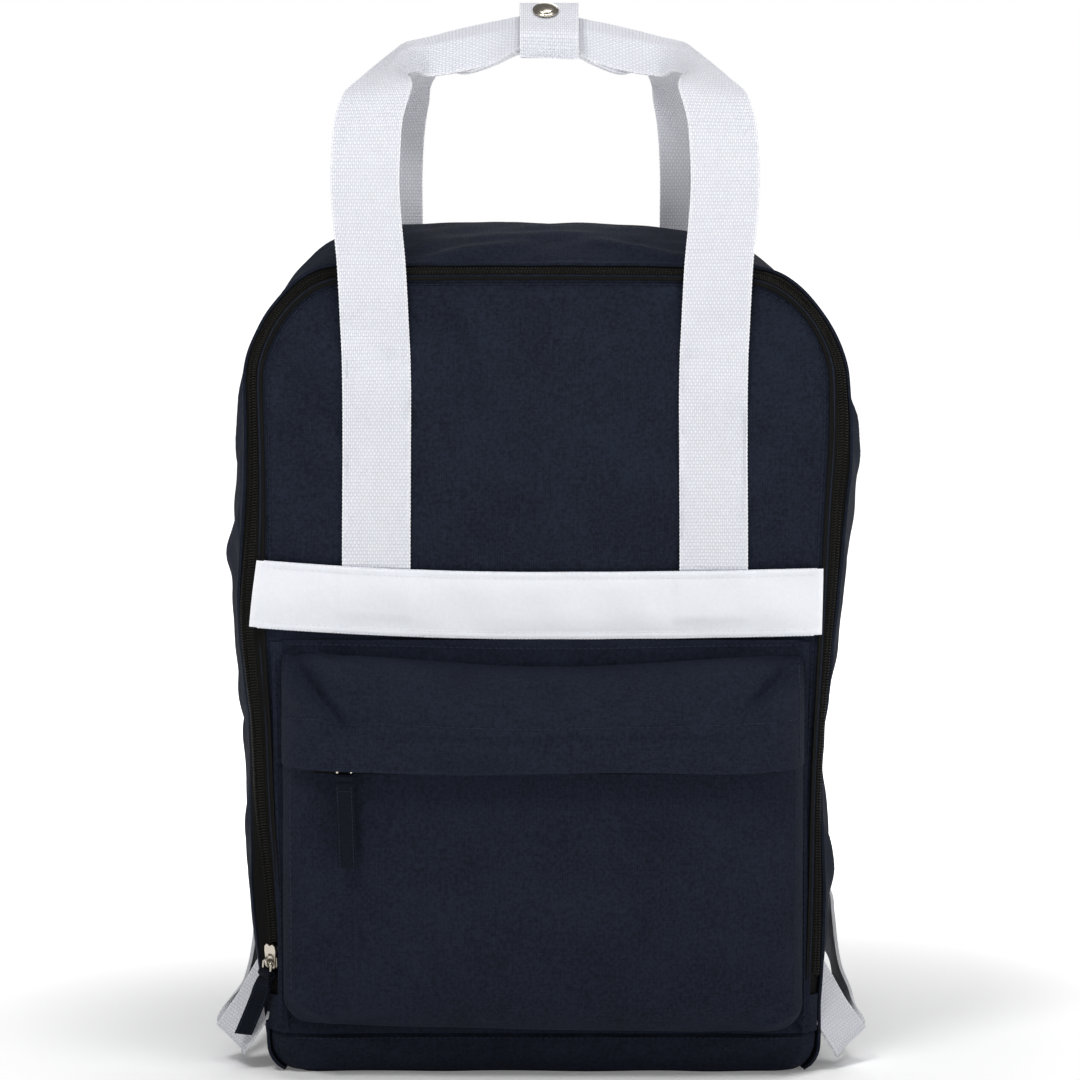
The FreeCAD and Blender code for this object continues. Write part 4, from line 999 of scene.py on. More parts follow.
def band():
    """Smooth white band across the front, hemmed at both edges, over the ends of the handle."""
    low, high = span("front_band")
    rows = np.concatenate([[0, 0.012, 0.03, 0.06], np.linspace(0.09, 0.91, 24),
                           [0.94, 0.97, 0.988, 1]])
    up = rows[:, None]
    along_band = np.linspace(-1, 1, 200)[None, :]
    leftward = np.clip(-along_band, 0, 1)
    rightward = np.clip(along_band, 0, 1)
    x = along_band * 131.5 - 1.6 - 2.4 * leftward ** 6 * (1 - up)
    z = low[2] + 0.3 + up * 31.2 + 5.6 * leftward ** 2 + 1.8 * rightward ** 2 - 0.6
    strap = (smooth_step(20, 14.5, abs(abs(x) - 78.5)) * smooth_step(0.15, 0.35, up))
    body = 1.5 * np.sin(math.pi * np.clip((up - 0.1) / 0.8, 0, 1)) ** 0.6
    body = body * (0.75 + 0.25 * np.sin(x * 0.035 + 1.0))
    hem = 0.35 * smooth_step(0.10, 0.07, up) + 0.35 * smooth_step(0.90, 0.93, up)
    edge = 0.5 * (np.exp(-up / 0.012) + np.exp(-(1 - up) / 0.012))
    end = 0.8 * np.exp(-(1 - abs(along_band)) / 0.006)
    y = high[1] - 0.3 - CLOTH * 0.5 - body - hem + edge + end - 0.7 * strap
    grid = surface(x, y, z)
    sheet("front_band_cloth", settle(grid), "front", "white_band", "front_band", thick=1.1)
    lines = [(settle(grid[index_near(rows, share), 3:-3]), FORWARD) for share in (0.085, 0.915)]
    stitches("front_band_stitches", lines, "front", "white_band", pitch=2.6, radius=0.2, lift=0.02)
    teeth = [(settle(grid[row, 2:-2]) + [0, 0.1, 0], FORWARD) for row in (0, -1)]
    stitches("front_band_edging", teeth, "front", "white_band", pitch=1.7, long=1.1, radius=0.42,
             lift=0.0)


POCKET_HALF = 122.5
POCKET_X = -1.0
POCKET_STITCH = 3.0


def pouch(c, v):
    """Depth share of a pouch: c runs across it (-1 to 1), v from its open top (0) to its foot."""
    across = np.clip(1 - abs(c) ** 7, 0, 1) ** 0.36
    down = np.clip(1 - v ** 8, 0, 1) ** 0.25
    return across * down


def pocket_shell():
    """Front pocket: a soft pouch with rounded lower corners, open at the top behind its zip."""
    low, high = span("pocket_shell")
    v = 1 - (1 - np.linspace(0, 1, 90)[:, None]) ** 1.6
    c = crowded(190, 0.75)[None, :]
    corner = 14.0
    z = high[2] + (low[2] - high[2]) * v
    tuck = np.clip(corner - (z - low[2]), 0, corner)
    x = POCKET_X + (POCKET_HALF - (corner - np.sqrt(corner ** 2 - tuck ** 2))) * c
    z = z + (1.6 - 2.0 * c) * v ** 3 + 3.0 * abs(c) ** 6 * (1 - v)
    y = high[1] - (high[1] - low[1] + 0.4) * pouch(c, v)
    # the filled pocket is fullest below its middle and dented by its contents
    y = y - 3.2 * hump(x, 14, 80) * hump(z, 70, 42) + 1.2 * hump(x, -70, 26) * hump(z, 100, 40)
    grid = surface(x, y, z)
    folds = (
        ((-122, 44), (-98, 27), 3.6, 3.4), ((-112, 24), (-66, 33), 4.6, -2.6),
        ((-116, 52), (-96, 66), 6.0, -1.6), ((-108, 60), (-116, 104), 5.0, -1.2),
        ((121, 34), (98, 22), 3.6, 3.2), ((106, 20), (66, 30), 4.6, -2.4),
        ((98, 96), (113, 56), 5.5, 1.5), ((-64, 62), (-18, 50), 10.0, 1.4),
        ((16, 116), (70, 106), 9.0, 1.2), ((-90, 128), (-56, 116), 8.0, -1.2),
        ((70, 60), (34, 40), 9.0, -1.3), ((-20, 24), (30, 19), 5.0, 1.4),
    )
    for fold in folds:
        grid[..., 1] -= fold_height(grid[..., [0, 2]], *fold)
    grid[..., 1] -= 0.12 * unevenness(grid, 0.8) * pouch(c, v)
    sheet("pocket_cloth", grid, "front", "navy_cloth", "pocket_shell", flip=True)
    lines = []
    for side in (-1, 1):
        seam = grid[:64, index_near(c[0], side * 0.965)]
        lines.append((seam, unit(np.array([side * 0.25, -1, 0]))))
    stitches("pocket_stitches", lines, "front", "navy_cloth", pitch=POCKET_STITCH)


def pocket_cover():
    """Flap over the pocket's zip: flat under the band, swelling to a lip, with a turned hem."""
    high = span("pocket_cover")[1]
    flat_part = 0.14
    v = np.concatenate([np.linspace(0, 0.16, 8), np.linspace(0.18, 0.97, 60), [0.985, 1.0]])[:, None]
    c = crowded(210, 0.7)[None, :]
    x = POCKET_X + (POCKET_HALF + 0.4) * c
    top = 207.0
    crease = 200.4 - 6.5 * hump(c, 0.02, 0.62) - 1.2 * (c + 1) / 2 + 0.6
    hem = 148.4 + 1.4 * abs(c) ** 7 + 0.5 * np.sin(c * 6.0)
    strip = np.clip(v / flat_part, 0, 1)
    rest = np.clip((v - flat_part) / (1 - flat_part), 0, 1)
    z = np.where(v < flat_part, top + (crease - top) * strip, crease + (hem - crease) * rest)
    slope = np.clip(rest / 0.62, 0, 1)
    rim = 9.0 + 2.0 * np.cos(c * 9.0 + 0.6)
    out = 0.3 + rim * (1 - np.exp(-rest / 0.025))
    out = out + (37.0 - rim) * np.sin(slope * math.pi / 2) ** 0.85
    out = out + 1.6 * np.clip((rest - 0.62) / 0.38, 0, 1)
    out = np.where(v < flat_part, 2.0 - 1.7 * strip, out)
    width = pouch(c, 0.0)
    y = high[1] - 0.3 - out * width - 1.4 * hump(rest, 0.60, 0.05) * width
    grid = surface(x, y, z)
    folds = (
        ((-119, 199), (-93, 170), 3.2, -4.6), ((-122, 188), (-101, 164), 3.6, 3.4),
        ((-110, 199), (-76, 180), 4.0, 3.4), ((-88, 194), (-40, 186), 4.0, 1.8),
        ((-104, 166), (-86, 172), 4.0, -2.6), ((115, 196), (96, 178), 3.0, -4.2),
        ((120, 186), (92, 172), 3.6, 2.8), ((106, 197), (62, 187), 4.0, 2.6),
        ((86, 178), (58, 182), 5.0, -1.6), ((-34, 190), (40, 189), 3.2, 1.2),
        ((-66, 159), (-12, 156), 4.0, 1.5), ((16, 157), (92, 154), 4.5, 1.6),
        ((-24, 180), (54, 177), 8.0, -1.6),
    )
    for fold in folds:
        lift = fold_height(grid[..., [0, 2]], *fold)
        grid[..., 1] -= lift * 1.1
        grid[..., 2] += lift * 0.35
    grid[..., 1] -= 0.10 * unevenness(grid, 1.2) * width
    sheet("pocket_cover_cloth", grid, "front", "navy_cloth", "pocket_cover", flip=True)
    row = index_near(v[:, 0], flat_part + (1 - flat_part) * 0.55)
    lines = [(grid[row, 10:-10], (0, -1, 0.1)), (grid[2, 6:-6], FORWARD)]
    for side in (-1, 1):
        lines.append((grid[6:-2, index_near(c[0], side * 0.975)], (side * 0.5, -0.86, 0)))
    stitches("pocket_cover_stitches", lines, "front", "navy_cloth", pitch=POCKET_STITCH)


def pocket_side_seams():
    """Flat strips of the pocket's cloth beside the pouch, sewn down with a row of stitches."""
    lines = []
    share = np.linspace(0, 1, 7)[None, :]
    z = np.linspace(24, 206, 110)[:, None]
    for side, name in SIDES:
        x = POCKET_X + side * (POCKET_HALF - 2.6 + 5.2 * share)
        grid = surface(x, FRONT_Y - 0.9 - 0.7 * np.sin(math.pi * share), z)
        sheet(f"pocket_side_seam_{name}", settle(grid), "front", "navy_cloth", thick=0.8,
              flip=side < 0)
        lines.append((settle(grid[:, 4] - [0, 0.1, 0]), FORWARD))
    stitches("pocket_side_stitches", lines, "front", "navy_cloth", pitch=POCKET_STITCH)


def pocket_bend(x):
    """How far the ends of the pocket's zip lean back with the round of the pouch."""
    return 26.0 * (1 - pouch((x - POCKET_X) / POCKET_HALF, 0.0))


def pocket_zip():
    """Tapes and coils of the pocket's zip, under the cover."""
    pitch = 1.3
    for part, sign in (("lower", -1), ("upper", 1)):
        low, high = span(f"pocket_zip_tape_{part}")
        x = np.linspace(low[0], high[0], 90)[None, :]
        z = np.linspace(low[2], high[2], 6)[:, None]
        grid = surface(x, low[1] + 0.15 * np.sin(x * 0.06) + pocket_bend(x), z)
        sheet(f"pocket_zip_tape_{part}_cloth", grid, "front", "zip_tape",
              f"pocket_zip_tape_{part}", thick=0.7)
        low, high = span(f"pocket_zip_coil_{part}")

        def place(run, across, height):
            x = low[0] + run
            y = high[1] + 0.3 - (height - 0.9) * 0.9 + pocket_bend(x)
            return surface(x, y, (low[2] + high[2]) / 2 + across)
        count = int((high[0] - low[0]) / pitch) - 1
        zip_coil(f"pocket_zip_coil_{part}", "front", place, count, pitch, -sign * 0.35, 1.2, 0.34,
                 sign)


# ---------------------------------------------------------------- zip sliders and pullers

def to_frame(points, origin, across, upward, outward):
    points = np.asarray(points, float)
    return (np.asarray(origin) + points[..., :1] * across + points[..., 1:2] * upward
            + points[..., 2:3] * outward)


def main_frame():
    """Axes of the left run of the main zip at the slider: across, upwards and outwards."""
    middle = FRONT + (EDGE - FRONT) * 0.5
    lean = (middle[1] - middle[0]) / (middle[2] - middle[3])
    z = ZIP_END_Z + 2.0
    origin = np.array([-(middle[0] + lean * z), (FRONT_Y + EDGE_Y) / 2, z])
    upward = unit(np.array([-lean, 0, 1.0]))
    outward = unit(np.array([-(EDGE_Y - FRONT_Y), -(EDGE[1] - FRONT[1]), 0]))
    across = unit(np.cross(upward, outward))
    return origin, across, upward, np.cross(across, upward)


def slab(outline, low, high):
    """Plate with an outline in the slider's own plane, between two heights."""
    count = len(outline)
    points = np.array([(x, y, z) for z in (low, high) for x, y in outline])
    sides = [[i, (i + 1) % count, (i + 1) % count + count, i + count] for i in range(count)]
    return points, sides + [list(range(count))[::-1], list(range(count, 2 * count))]


def slider_body(axes, name, body, node, lug_along):
    """Cast zip slider: two waisted plates with side flanges, a bridge and a lug."""
    half_plate = [(3.1, 0.3), (4.1, 1.6), (4.1, 5.2), (4.6, 8.6), (4.3, 10.9), (2.4, 12.0)]
    plate = half_plate + [(0, 11.1)] + [(-x, y) for x, y in half_plate[::-1]]
    parts = [slab(plate, 2.9, 4.0), slab(plate, -1.8, -0.7)]
    for side in (-1, 1):
        rail = [(side * 3.7, 0.8), (side * 4.5, 1.4), (side * 4.5, 5.6), (side * 3.9, 5.8)]
        parts.append(slab(rail[::side * -1], 1.9, 3.2))
        parts.append(slab(rail[::side * -1], -1.2, 0.0))
    parts.append(slab([(-0.7, 11.0), (0.7, 11.0), (0.5, 8.0), (-0.5, 8.0)], -1.0, 3.2))
    angles = np.linspace(0, math.pi, 13)
    reach, rise, pin_y, top_z = 3.1, 2.3, 3.84, 4.0
    arc = surface(0, pin_y - reach * np.cos(angles), top_z + rise * np.sin(angles))
    if lug_along:
        arc = surface(reach * np.cos(angles) * 0.8, pin_y, top_z + rise * np.sin(angles))
    parts.append(tube(arc, 0.62, 8))
    points, faces = merged(parts)
    made = new_piece(name, to_frame(points, *axes), faces, LOOKS["nickel"], sharp=35)
    rounding = made.modifiers.new("rounding", "BEVEL")
    rounding.width = 0.22 * MM
    rounding.segments = 2
    rounding.limit_method = "ANGLE"
    placed(made, body, "nickel", node)


def bail_wire(axes, name, body, node, drop):
    """Wire loop of a puller, with a wider flattened lower bar."""
    half, corner = 3.2, 1.3
    right, low = half - corner, -drop + corner
    path = []
    for cx, cy, start in ((right, -corner, 0), (-right, -corner, 90), (-right, low, 180),
                          (right, low, 270)):
        for angle in np.radians(np.linspace(start, start + 90, 6)):
            path.append((cx + corner * math.cos(angle), cy + corner * math.sin(angle), 0.0))
    path += path[:2]
    bar_x = np.linspace(-half - 0.7, half + 0.7, 15)
    bar = surface(bar_x, -drop + 0.2, 0.25 * np.cos(bar_x * 0.4))
    points, faces = merged([tube(path, 0.68, 8, ups=[(0, 0, 1)] * len(path)),
                            tube(bar, 1.25, 10, flat=0.75, ups=[(0, 0, 1)] * 15)])
    made = new_piece(name, to_frame(points, *axes), faces, LOOKS["nickel"], sharp=60)
    placed(made, body, "nickel", node)


def puller(axes, name, body, node, drop, long, lean=0.0, twist=0.0):
    """Fabric puller: a folded tape that loops round the bar, sewn along its edges.

    Below the bar it twists by some degrees and leans sideways by some millimetres.
    """
    turn = np.radians(np.linspace(-80, 260, 16))
    loop = [(0, -drop + 1.75 * math.sin(a), 1.75 * math.cos(a)) for a in turn]
    end = -drop - 2.2 - long
    down = np.linspace(-drop - 3.4, end, 14)
    wave = 0.35 * np.sin((down - end) * 0.22)
    back = [(0, y, -0.5 + w) for y, w in zip(down, wave)]
    front = [(0, y, 0.75 + w) for y, w in zip(down, wave)]
    full = math.radians(twist)

    def hang(points):
        """Carries straight points of the tape to their twisted, leaning place."""
        x, y, z = np.moveaxis(np.asarray(points, float), -1, 0)
        below = np.clip(-y - drop, 0, None)
        angle = full * smooth_step(1.5, 11, below)
        shift = lean * (below / long) ** 1.15
        across = x * np.cos(angle) + z * np.sin(angle) + shift * math.cos(full)
        height = z * np.cos(angle) - x * np.sin(angle) - shift * math.sin(full)
        return to_frame(surface(across, y, height), *axes)
    grid = ribbon(even_path(back[::-1] + loop[::-1] + front, 0.7), np.linspace(-4.2, 4.2, 11))
    placed(cloth(name, hang(grid), 0.9, PULL_LOOK, both_ways=True, wear=1.0), body, "navy_cloth",
           node)
    outward = axes[3] * math.cos(full) + axes[1] * math.sin(full)
    lines = [(hang(np.array(front) + [side * 3.2, 0, 0.5]), outward) for side in (-1, 1)]
    cross_row = surface(np.linspace(-3.2, 3.2, 6), down[1], wave[1] + 1.25)
    lines.append((hang(cross_row), outward))
    stitches(f"{name}_stitches", lines, body, "navy_cloth", pitch=1.9, long=1.3, radius=0.2,
             lift=0.02)


def sliders():
    """Sliders and pullers of both zips, on the joints of the CAD part."""
    joints = {joint["name"]: joint for joint in frame["joints"]}
    axes = main_frame()
    slider_body(axes, "main_slider_cast", "zip_slider", "main_slider", False)
    pivot = np.array(joints["main_pull_swing"]["pos_m"]) / MM
    pin = unit(-np.array(joints["main_pull_swing"]["axis"]))
    outward = unit(axes[3] - pin * (axes[3] @ pin))
    hang = (pivot, pin, np.cross(outward, pin), outward)
    bail_wire(hang, "main_bail_wire", "zip_pull", "main_bail", 6.0)
    puller(hang, "main_puller_tape", "zip_pull", "main_pull_tape", 6.0, 29.0, -8.0, 50.0)
    right, up, forward = np.array([1.0, 0, 0]), np.array([0, 0, 1.0]), np.array(FORWARD, float)
    low, high = span("pocket_slider")
    origin = np.array([high[0], -93.2, (low[2] + high[2]) / 2])
    slider_body((origin, up, -right, forward), "pocket_slider_cast", "pocket_zip_slider",
                "pocket_slider", True)
    pivot = np.array(joints["pocket_pull_swing"]["pos_m"]) / MM
    lug_z = span("pocket_bail")[1][2] - 0.7
    drop = lug_z - pivot[2]
    hang = (np.array([pivot[0], pivot[1], lug_z]), right, up, forward)
    bail_wire(hang, "pocket_bail_wire", "pocket_zip_slider", "pocket_bail", drop)
    puller(hang, "pocket_puller_tape", "pocket_zip_pull", "pocket_pull_tape", drop, 40.0, 1.2)


# ---------------------------------------------------------------- inside

def sleeve():
    """Laptop sleeve against the back, with a bound top edge."""
    low, high = span("laptop_sleeve")
    x = np.linspace(low[0], high[0], 80)[None, :]
    z = np.linspace(low[2], high[2], 80)[:, None]
    share_x = (x - low[0]) / (high[0] - low[0])
    share_z = (z - low[2]) / (high[2] - low[2])
    belly = np.sin(math.pi * share_x) * np.sin(math.pi * share_z * 0.8)
    grid = surface(x, low[1] - 3.0 * belly + 0.4 * np.sin(x * 0.11 + z * 0.03), z)
    sheet("sleeve_cloth", grid, "bag", "navy_lining", "laptop_sleeve", thick=1.2)
    fold = np.array([(-1.3, -9.5), (-1.4, -2), (-1.3, 0.6), (-0.2, 1.5), (1.0, 1.5),
                     (2.1, 0.6), (2.3, -2), (2.2, -9.5)])
    rows = grid[-1][None] + surface(0, fold[:, 0], fold[:, 1])[:, None]
    sheet("sleeve_binding_tape", rows, "bag", "zip_tape", "sleeve_binding", thick=0.7)


# ---------------------------------------------------------------- shoulder straps

PAD_OUTLINE = np.array([(4, 374), (4, 318), (74, 160), (83, 142), (117, 142), (126, 166), (56, 326),
                        (56, 374)], float)


def pad_outline(inset, count):
    """Rounded outline of a shoulder pad, as x and z, moved inwards."""
    points = []
    for index, corner in enumerate(PAD_OUTLINE):
        before = PAD_OUTLINE[index - 1] - corner
        after = PAD_OUTLINE[(index + 1) % len(PAD_OUTLINE)] - corner
        reach = min(14.0, 0.42 * np.linalg.norm(after), 0.42 * np.linalg.norm(before))
        start = corner + unit(before) * reach
        end = corner + unit(after) * reach
        for s in np.linspace(0, 1, 7):
            points.append((1 - s) ** 2 * start + 2 * s * (1 - s) * corner + s ** 2 * end)
    points = np.array(points + points[:1])
    run = lengths(points)
    path = along(points, run, np.linspace(0, run[-1], count, endpoint=False))
    forward = unit(np.roll(path, -1, axis=0) - np.roll(path, 1, axis=0))
    return path + np.stack([-forward[:, 1], forward[:, 0]], -1) * inset


def vertices(made):
    return np.array([v.co for v in made.data.vertices])


def set_vertices(made, places):
    made.data.vertices.foreach_set("co", places.astype(np.float32).ravel())


def swollen(name, points, faces, pressure, cap, voxel=4.5, steps=20):
    """Closed cushion: remeshed, blown up by cloth simulation, and held close to its start."""
    made = new_piece(name, points, faces, LOOKS["navy_cloth"], sharp=180)
    bpy.context.view_layer.objects.active = made
    made.select_set(True)
    remesh = made.modifiers.new("remesh", "REMESH")
    remesh.mode = "VOXEL"
    remesh.voxel_size = voxel * MM
    bpy.ops.object.modifier_apply(modifier="remesh")
    start = vertices(made)
    pad = made.modifiers.new("cloth", "CLOTH")
    pad.settings.quality = 6
    pad.settings.mass = 0.2
    pad.settings.use_pressure = True
    pad.settings.uniform_pressure_force = pressure
    pad.settings.effector_weights.gravity = 0.0
    pad.point_cache.frame_start = 1
    pad.point_cache.frame_end = steps
    for number in range(1, steps + 1):
        bpy.context.scene.frame_set(number)
    bpy.ops.object.modifier_apply(modifier="cloth")
    move = vertices(made) - start
    far = np.linalg.norm(move, axis=1, keepdims=True)
    set_vertices(made, start + move * np.minimum(1, cap * MM / np.maximum(far, 1e-9)))
    bpy.context.scene.frame_set(1)
    smooth = made.modifiers.new("smooth", "SUBSURF")
    smooth.levels = 1
    smooth.render_levels = 1
    bpy.ops.object.modifier_apply(modifier="smooth")
    made.data.polygons.foreach_set("use_smooth", [True] * len(made.data.polygons))
    made.select_set(False)
    return made


def flat_uv(made):
    """Cloth directions of a simulated pad: straight across and up it."""
    mesh = made.data
    layer = mesh.uv_layers.get("UVMap") or mesh.uv_layers.new(name="UVMap")
    corners = np.empty(len(mesh.loops), int)
    mesh.loops.foreach_get("vertex_index", corners)
    x, y, z = (vertices(made) / MM).T
    uv = np.stack([x + y * 0.7, z + y * 0.3], -1) * UV_UNIT
    layer.data.foreach_set("uv", uv[corners].astype(np.float32).ravel())


def pad_line(side, share, y, count=80):
    """Line down a pad at a share of its width from its middle (-1 to 1)."""
    ends = np.array([(30, 368), (30, 322), (64, 242), (100, 163), (100, 146)], float)
    run = lengths(ends)
    path = eased(along(ends, run, np.linspace(0, run[-1], count)), 30)
    forward = unit(np.gradient(path, axis=0))
    path = path + np.stack([-forward[:, 1], forward[:, 0]], -1) * share * 20
    return surface(side * path[:, 0], y, path[:, 1])


def sew_channel(made, side):
    """Presses the seam beside the bound edge into both faces of the pad."""
    co = vertices(made) / MM
    centre = co[:, 1].mean()
    for share in (-0.84, 0.84):
        line = pad_line(side, share, centre)
        flat = co[:, None, [0, 2]] - line[None, ::2, [0, 2]]
        away = np.sqrt((flat ** 2).sum(-1)).min(1)
        co[:, 1] = centre + (co[:, 1] - centre) * (1 - 0.22 * hump(away, 0, 2.6))
    set_vertices(made, co * MM)


def resting_on(line, pad, reach=9.0):
    """Line moved out in y until it lies on the pad's outer face."""
    co = vertices(pad) / MM
    near = np.hypot(*(co[:, None, [0, 2]] - line[None, :, [0, 2]]).transpose(2, 0, 1)) < reach
    nowhere = -1e8
    face = np.where(near, co[:, 1:2], 10 * nowhere).max(0)
    face = eased(np.where(face < nowhere, np.median(face[face > nowhere]), face), 8)
    return surface(line[:, 0], face, line[:, 2])


def shoulder_pads():
    """Padded straps: swollen cloth with a bound edge, a webbing spine and stitched channels."""
    low, high = span("shoulder_pad_right")
    middle_y = (low[1] + high[1]) / 2
    count = 120
    for side, name in SIDES:
        layers = []
        for inset, depth in ((3.5, -3.4), (1.2, -1.6), (1.2, 1.6), (3.5, 3.4)):
            outline = pad_outline(inset, count)
            layers.append(surface(side * outline[:, 0], middle_y + depth, outline[:, 1]))
        faces = ring_faces(len(layers), count, inward=True)
        if side > 0:
            faces = [face[::-1] for face in faces]
        made = swollen(f"shoulder_pad_{name}_cloth", np.concatenate(layers), faces, 4.0, 3.6)
        sew_channel(made, side)
        flat_uv(made)
        placed(made, f"{name}_strap", "navy_cloth", f"shoulder_pad_{name}")
        outline = pad_outline(2.0, 260)
        rim = surface(side * outline[:, 0], middle_y, outline[:, 1])
        rim = np.concatenate([rim, rim[:2]])
        points, faces = tube(rim, 1.9, 8, flat=1.5, ups=[BACKWARD] * len(rim))
        binding = new_piece(f"shoulder_pad_{name}_binding", points, faces, LOOKS["zip_tape"],
                            points[:, [0, 2]] * UV_UNIT, sharp=80)
        placed(binding, f"{name}_strap", "zip_tape")
        shoulder_webbing(side, name, made)
        adjuster_loop(name)
        pad_neck(side, name)


def shoulder_webbing(side, name, pad):
    """Webbing sewn down the outer face of the pad."""
    line = resting_on(pad_line(side, 0.0, 0.0, 160), pad) + [0, 0.75, 0]
    across = unit(np.cross(unit(np.gradient(line, axis=0)), BACKWARD))
    q = np.linspace(-1, 1, 17)
    grid = line[:, None] + q[None, :, None] * across[:, None] * NARROW_HALF
    grid[..., 1] -= 0.5 * abs(q[None, :]) ** 3
    webbing(f"shoulder_webbing_{name}", grid, f"{name}_strap", thick=1.3)
    rows = [((line + across * share + [0, 0.75, 0])[3:-3], BACKWARD) for share in (-11.0, 11.0)]
    stitches(f"shoulder_webbing_{name}_stitches", rows, f"{name}_strap", "white_webbing", pitch=2.6,
             radius=0.22, lift=0.05)


def adjuster_loop(name):
    """Webbing that comes off the pad, through the adjuster's top bar and back."""
    low, high = span(f"adjuster_loop_{name}")
    middle = (low + high) / 2
    profile = ((4, high[2] + 10), (2.2, high[2] + 1), (2.6, low[2] - 3.0), (0.8, low[2] - 6.6),
               (-1.8, low[2] - 5.6), (-2.9, low[2] - 1.5), (-1.4, high[2] + 1), (-1.0, high[2] + 8))
    path = even_path([(0, middle[1] + y, z) for y, z in profile], 0.6)
    webbing(f"adjuster_loop_{name}_webbing", ribbon(path, np.linspace(-12.4, 12.4, 17) + middle[0]),
            f"{name}_strap", f"adjuster_loop_{name}", thick=1.3)


def pad_neck(side, name):
    """Cloth that carries the pad's top end from the back seam, over its edge."""
    profile = [(66.6, 372), (66.9, 379), (69.5, 382.6), (75, 384), (81, 382), (85.0, 377),
               (85.8, 370), (85.4, 358)]
    offset = side * np.linspace(3.0, 57.0, 30)
    grid = ribbon(even_path([(0, y, z) for y, z in profile], 1.2), offset)
    grid[..., 2] += 0.5 * np.sin(offset * 0.4)[None]
    sheet(f"strap_neck_{name}_cloth", grid, ("bag", f"{name}_strap", (0, 67, 384), (0, 84, 376)),
          "navy_cloth", thick=1.3, flip=side > 0, both_ways=True)


def yoke():
    """Reinforcing patch over the strap ends, with a box of stitches."""
    low, high = span("strap_yoke")
    x = np.linspace(low[0], high[0], 60)[None, :]
    z = np.linspace(low[2], high[2], 26)[:, None]
    y = high[1] + 2.6 - 0.8 * (abs(x) / 54) ** 8 - 0.6 * (abs(z - 360) / 18) ** 8
    sheet("strap_yoke_cloth", surface(x, y, z), "bag", "navy_cloth", "strap_yoke", flip=True)
    box = [(-50, 346), (50, 346), (50, 374), (-50, 374), (-50, 346)]
    lines = []
    for start, end in zip(box, box[1:]):
        x, z = np.linspace(start, end, 40).T
        lines.append((surface(x, high[1] + 2.7, z), BACKWARD))
    stitches("strap_yoke_stitches", lines, "bag", "navy_cloth")


# ---------------------------------------------------------------- CAD nodes that stay

def dress_cad():
    """Materials for every CAD node, with eased edges on the ones that are shown."""
    slots = {row["node"]: row["material_slot"] for row in frame["record"]["subparts"]}
    for name, node in frame["nodes"].items():
        node.data.materials.clear()
        node.data.materials.append(LOOKS[slots[name]])
        if node.hide_render:
            continue
        easing = node.modifiers.new("easing", "BEVEL")
        easing.width = 0.5 * MM
        easing.segments = 3
        easing.limit_method = "ANGLE"


# ---------------------------------------------------------------- light, floor and camera

def studio():
    """White background for the camera, dimmer for everything else, and four round soft lights."""
    world = bpy.data.worlds.new("studio")
    world.use_nodes = True
    tree = world.node_tree
    back = tree.nodes["Background"]
    back.inputs["Strength"].default_value = 0.20
    plain = tree.nodes.new("ShaderNodeBackground")
    plain.inputs["Strength"].default_value = 1.0
    for node in (back, plain):
        node.inputs["Color"].default_value = (1.0, 1.0, 1.0, 1.0)
    seen = tree.nodes.new("ShaderNodeLightPath")
    choice = tree.nodes.new("ShaderNodeMixShader")
    tree.links.new(seen.outputs["Is Camera Ray"], choice.inputs[0])
    tree.links.new(back.outputs[0], choice.inputs[1])
    tree.links.new(plain.outputs[0], choice.inputs[2])
    tree.links.new(choice.outputs[0], tree.nodes["World Output"].inputs["Surface"])
    bpy.context.scene.world = world
    aim = Vector((0, 0, 0.24))
    for name, spot, width, watts in (
            ("key", (-0.7, -1.45, 2.2), 0.7, 25.0), ("fill", (1.6, -1.7, 0.9), 1.4, 9.0),
            ("top", (0.25, -0.55, 2.1), 0.7, 13.0), ("back", (0.4, 1.9, 1.4), 1.4, 12.0)):
        data = bpy.data.lights.new(name, "AREA")
        data.shape = "DISK"
        data.size = width
        data.energy = watts
        lamp = bpy.data.objects.new(name, data)
        lamp.location = spot
        lamp.rotation_euler = (aim - Vector(spot)).to_track_quat("-Z", "Y").to_euler()
        bpy.context.scene.collection.objects.link(lamp)


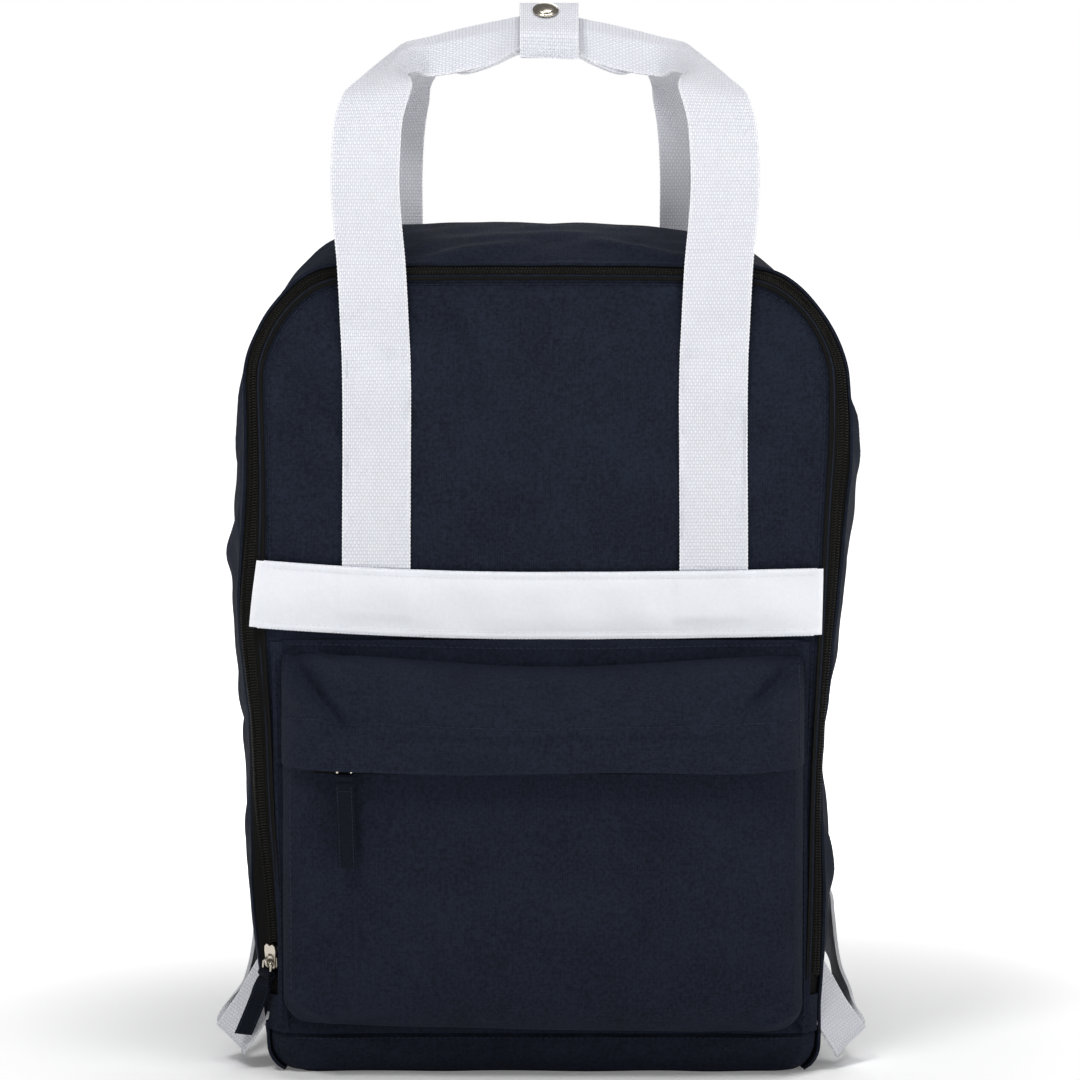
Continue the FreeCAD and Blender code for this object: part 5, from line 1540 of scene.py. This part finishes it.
def floor():
    """Pale floor. Further away it glows a little, so that it meets the background without a line."""
    mesh = bpy.data.meshes.new("floor")
    reach = 12.0
    corners = [(-reach, -reach, 0), (reach, -reach, 0), (reach, reach, 0), (-reach, reach, 0)]
    mesh.from_pydata(corners, [], [(0, 1, 2, 3)])
    shader = Shader("floor")
    grain = shader.noise(14.0, 3.0)
    length = shader.node("ShaderNodeVectorMath", operation="LENGTH")
    shader.feed(length.inputs[0], shader.place)
    far = shader.node("ShaderNodeMapRange", interpolation_type="SMOOTHSTEP")
    shader.feed(far.inputs["Value"], length.outputs["Value"])
    far.inputs["From Min"].default_value = 0.16
    far.inputs["From Max"].default_value = 0.75
    shader.set(Base_Color=shader.mix(grain, (0.93, 0.93, 0.93, 1), (0.96, 0.96, 0.96, 1)),
               Roughness=0.7, Specular_IOR_Level=0.2, Emission_Color=(1.0, 1.0, 1.0, 1.0),
               Emission_Strength=shader.between(far.outputs[0], 0.12, 1.0))
    mesh.materials.append(shader.material)
    made = bpy.data.objects.new("floor", mesh)
    bpy.context.scene.collection.objects.link(made)


def camera():
    """Long lens a little above the middle of the bag, looking at its front."""
    elevation = math.radians(5.0)
    distance = 2.6
    field = 0.5076
    front_gap = 0.06
    data = bpy.data.cameras.new("camera")
    data.sensor_width = 36.0
    data.lens = data.sensor_width * (distance - front_gap) / field
    data.clip_end = 50.0
    made = bpy.data.objects.new("camera", data)
    target = Vector((-0.00235, 0.0, 0.2482))
    made.location = target + distance * Vector((0, -math.cos(elevation), math.sin(elevation)))
    made.rotation_euler = (math.pi / 2 - elevation, 0, 0)
    bpy.context.scene.collection.objects.link(made)
    bpy.context.scene.camera = made


# ---------------------------------------------------------------- build

for build in (gusset, front_panel, back_panel, front_foot, base, zip_ends, main_zip, front_handle,
              back_handle, keeper, snap, lower_straps, band, pocket_shell, pocket_cover,
              pocket_side_seams, pocket_zip, sliders, sleeve, shoulder_pads, yoke, dress_cad, studio,
              floor, camera):
    build()
bpy.context.scene.view_settings.view_transform = "Standard"
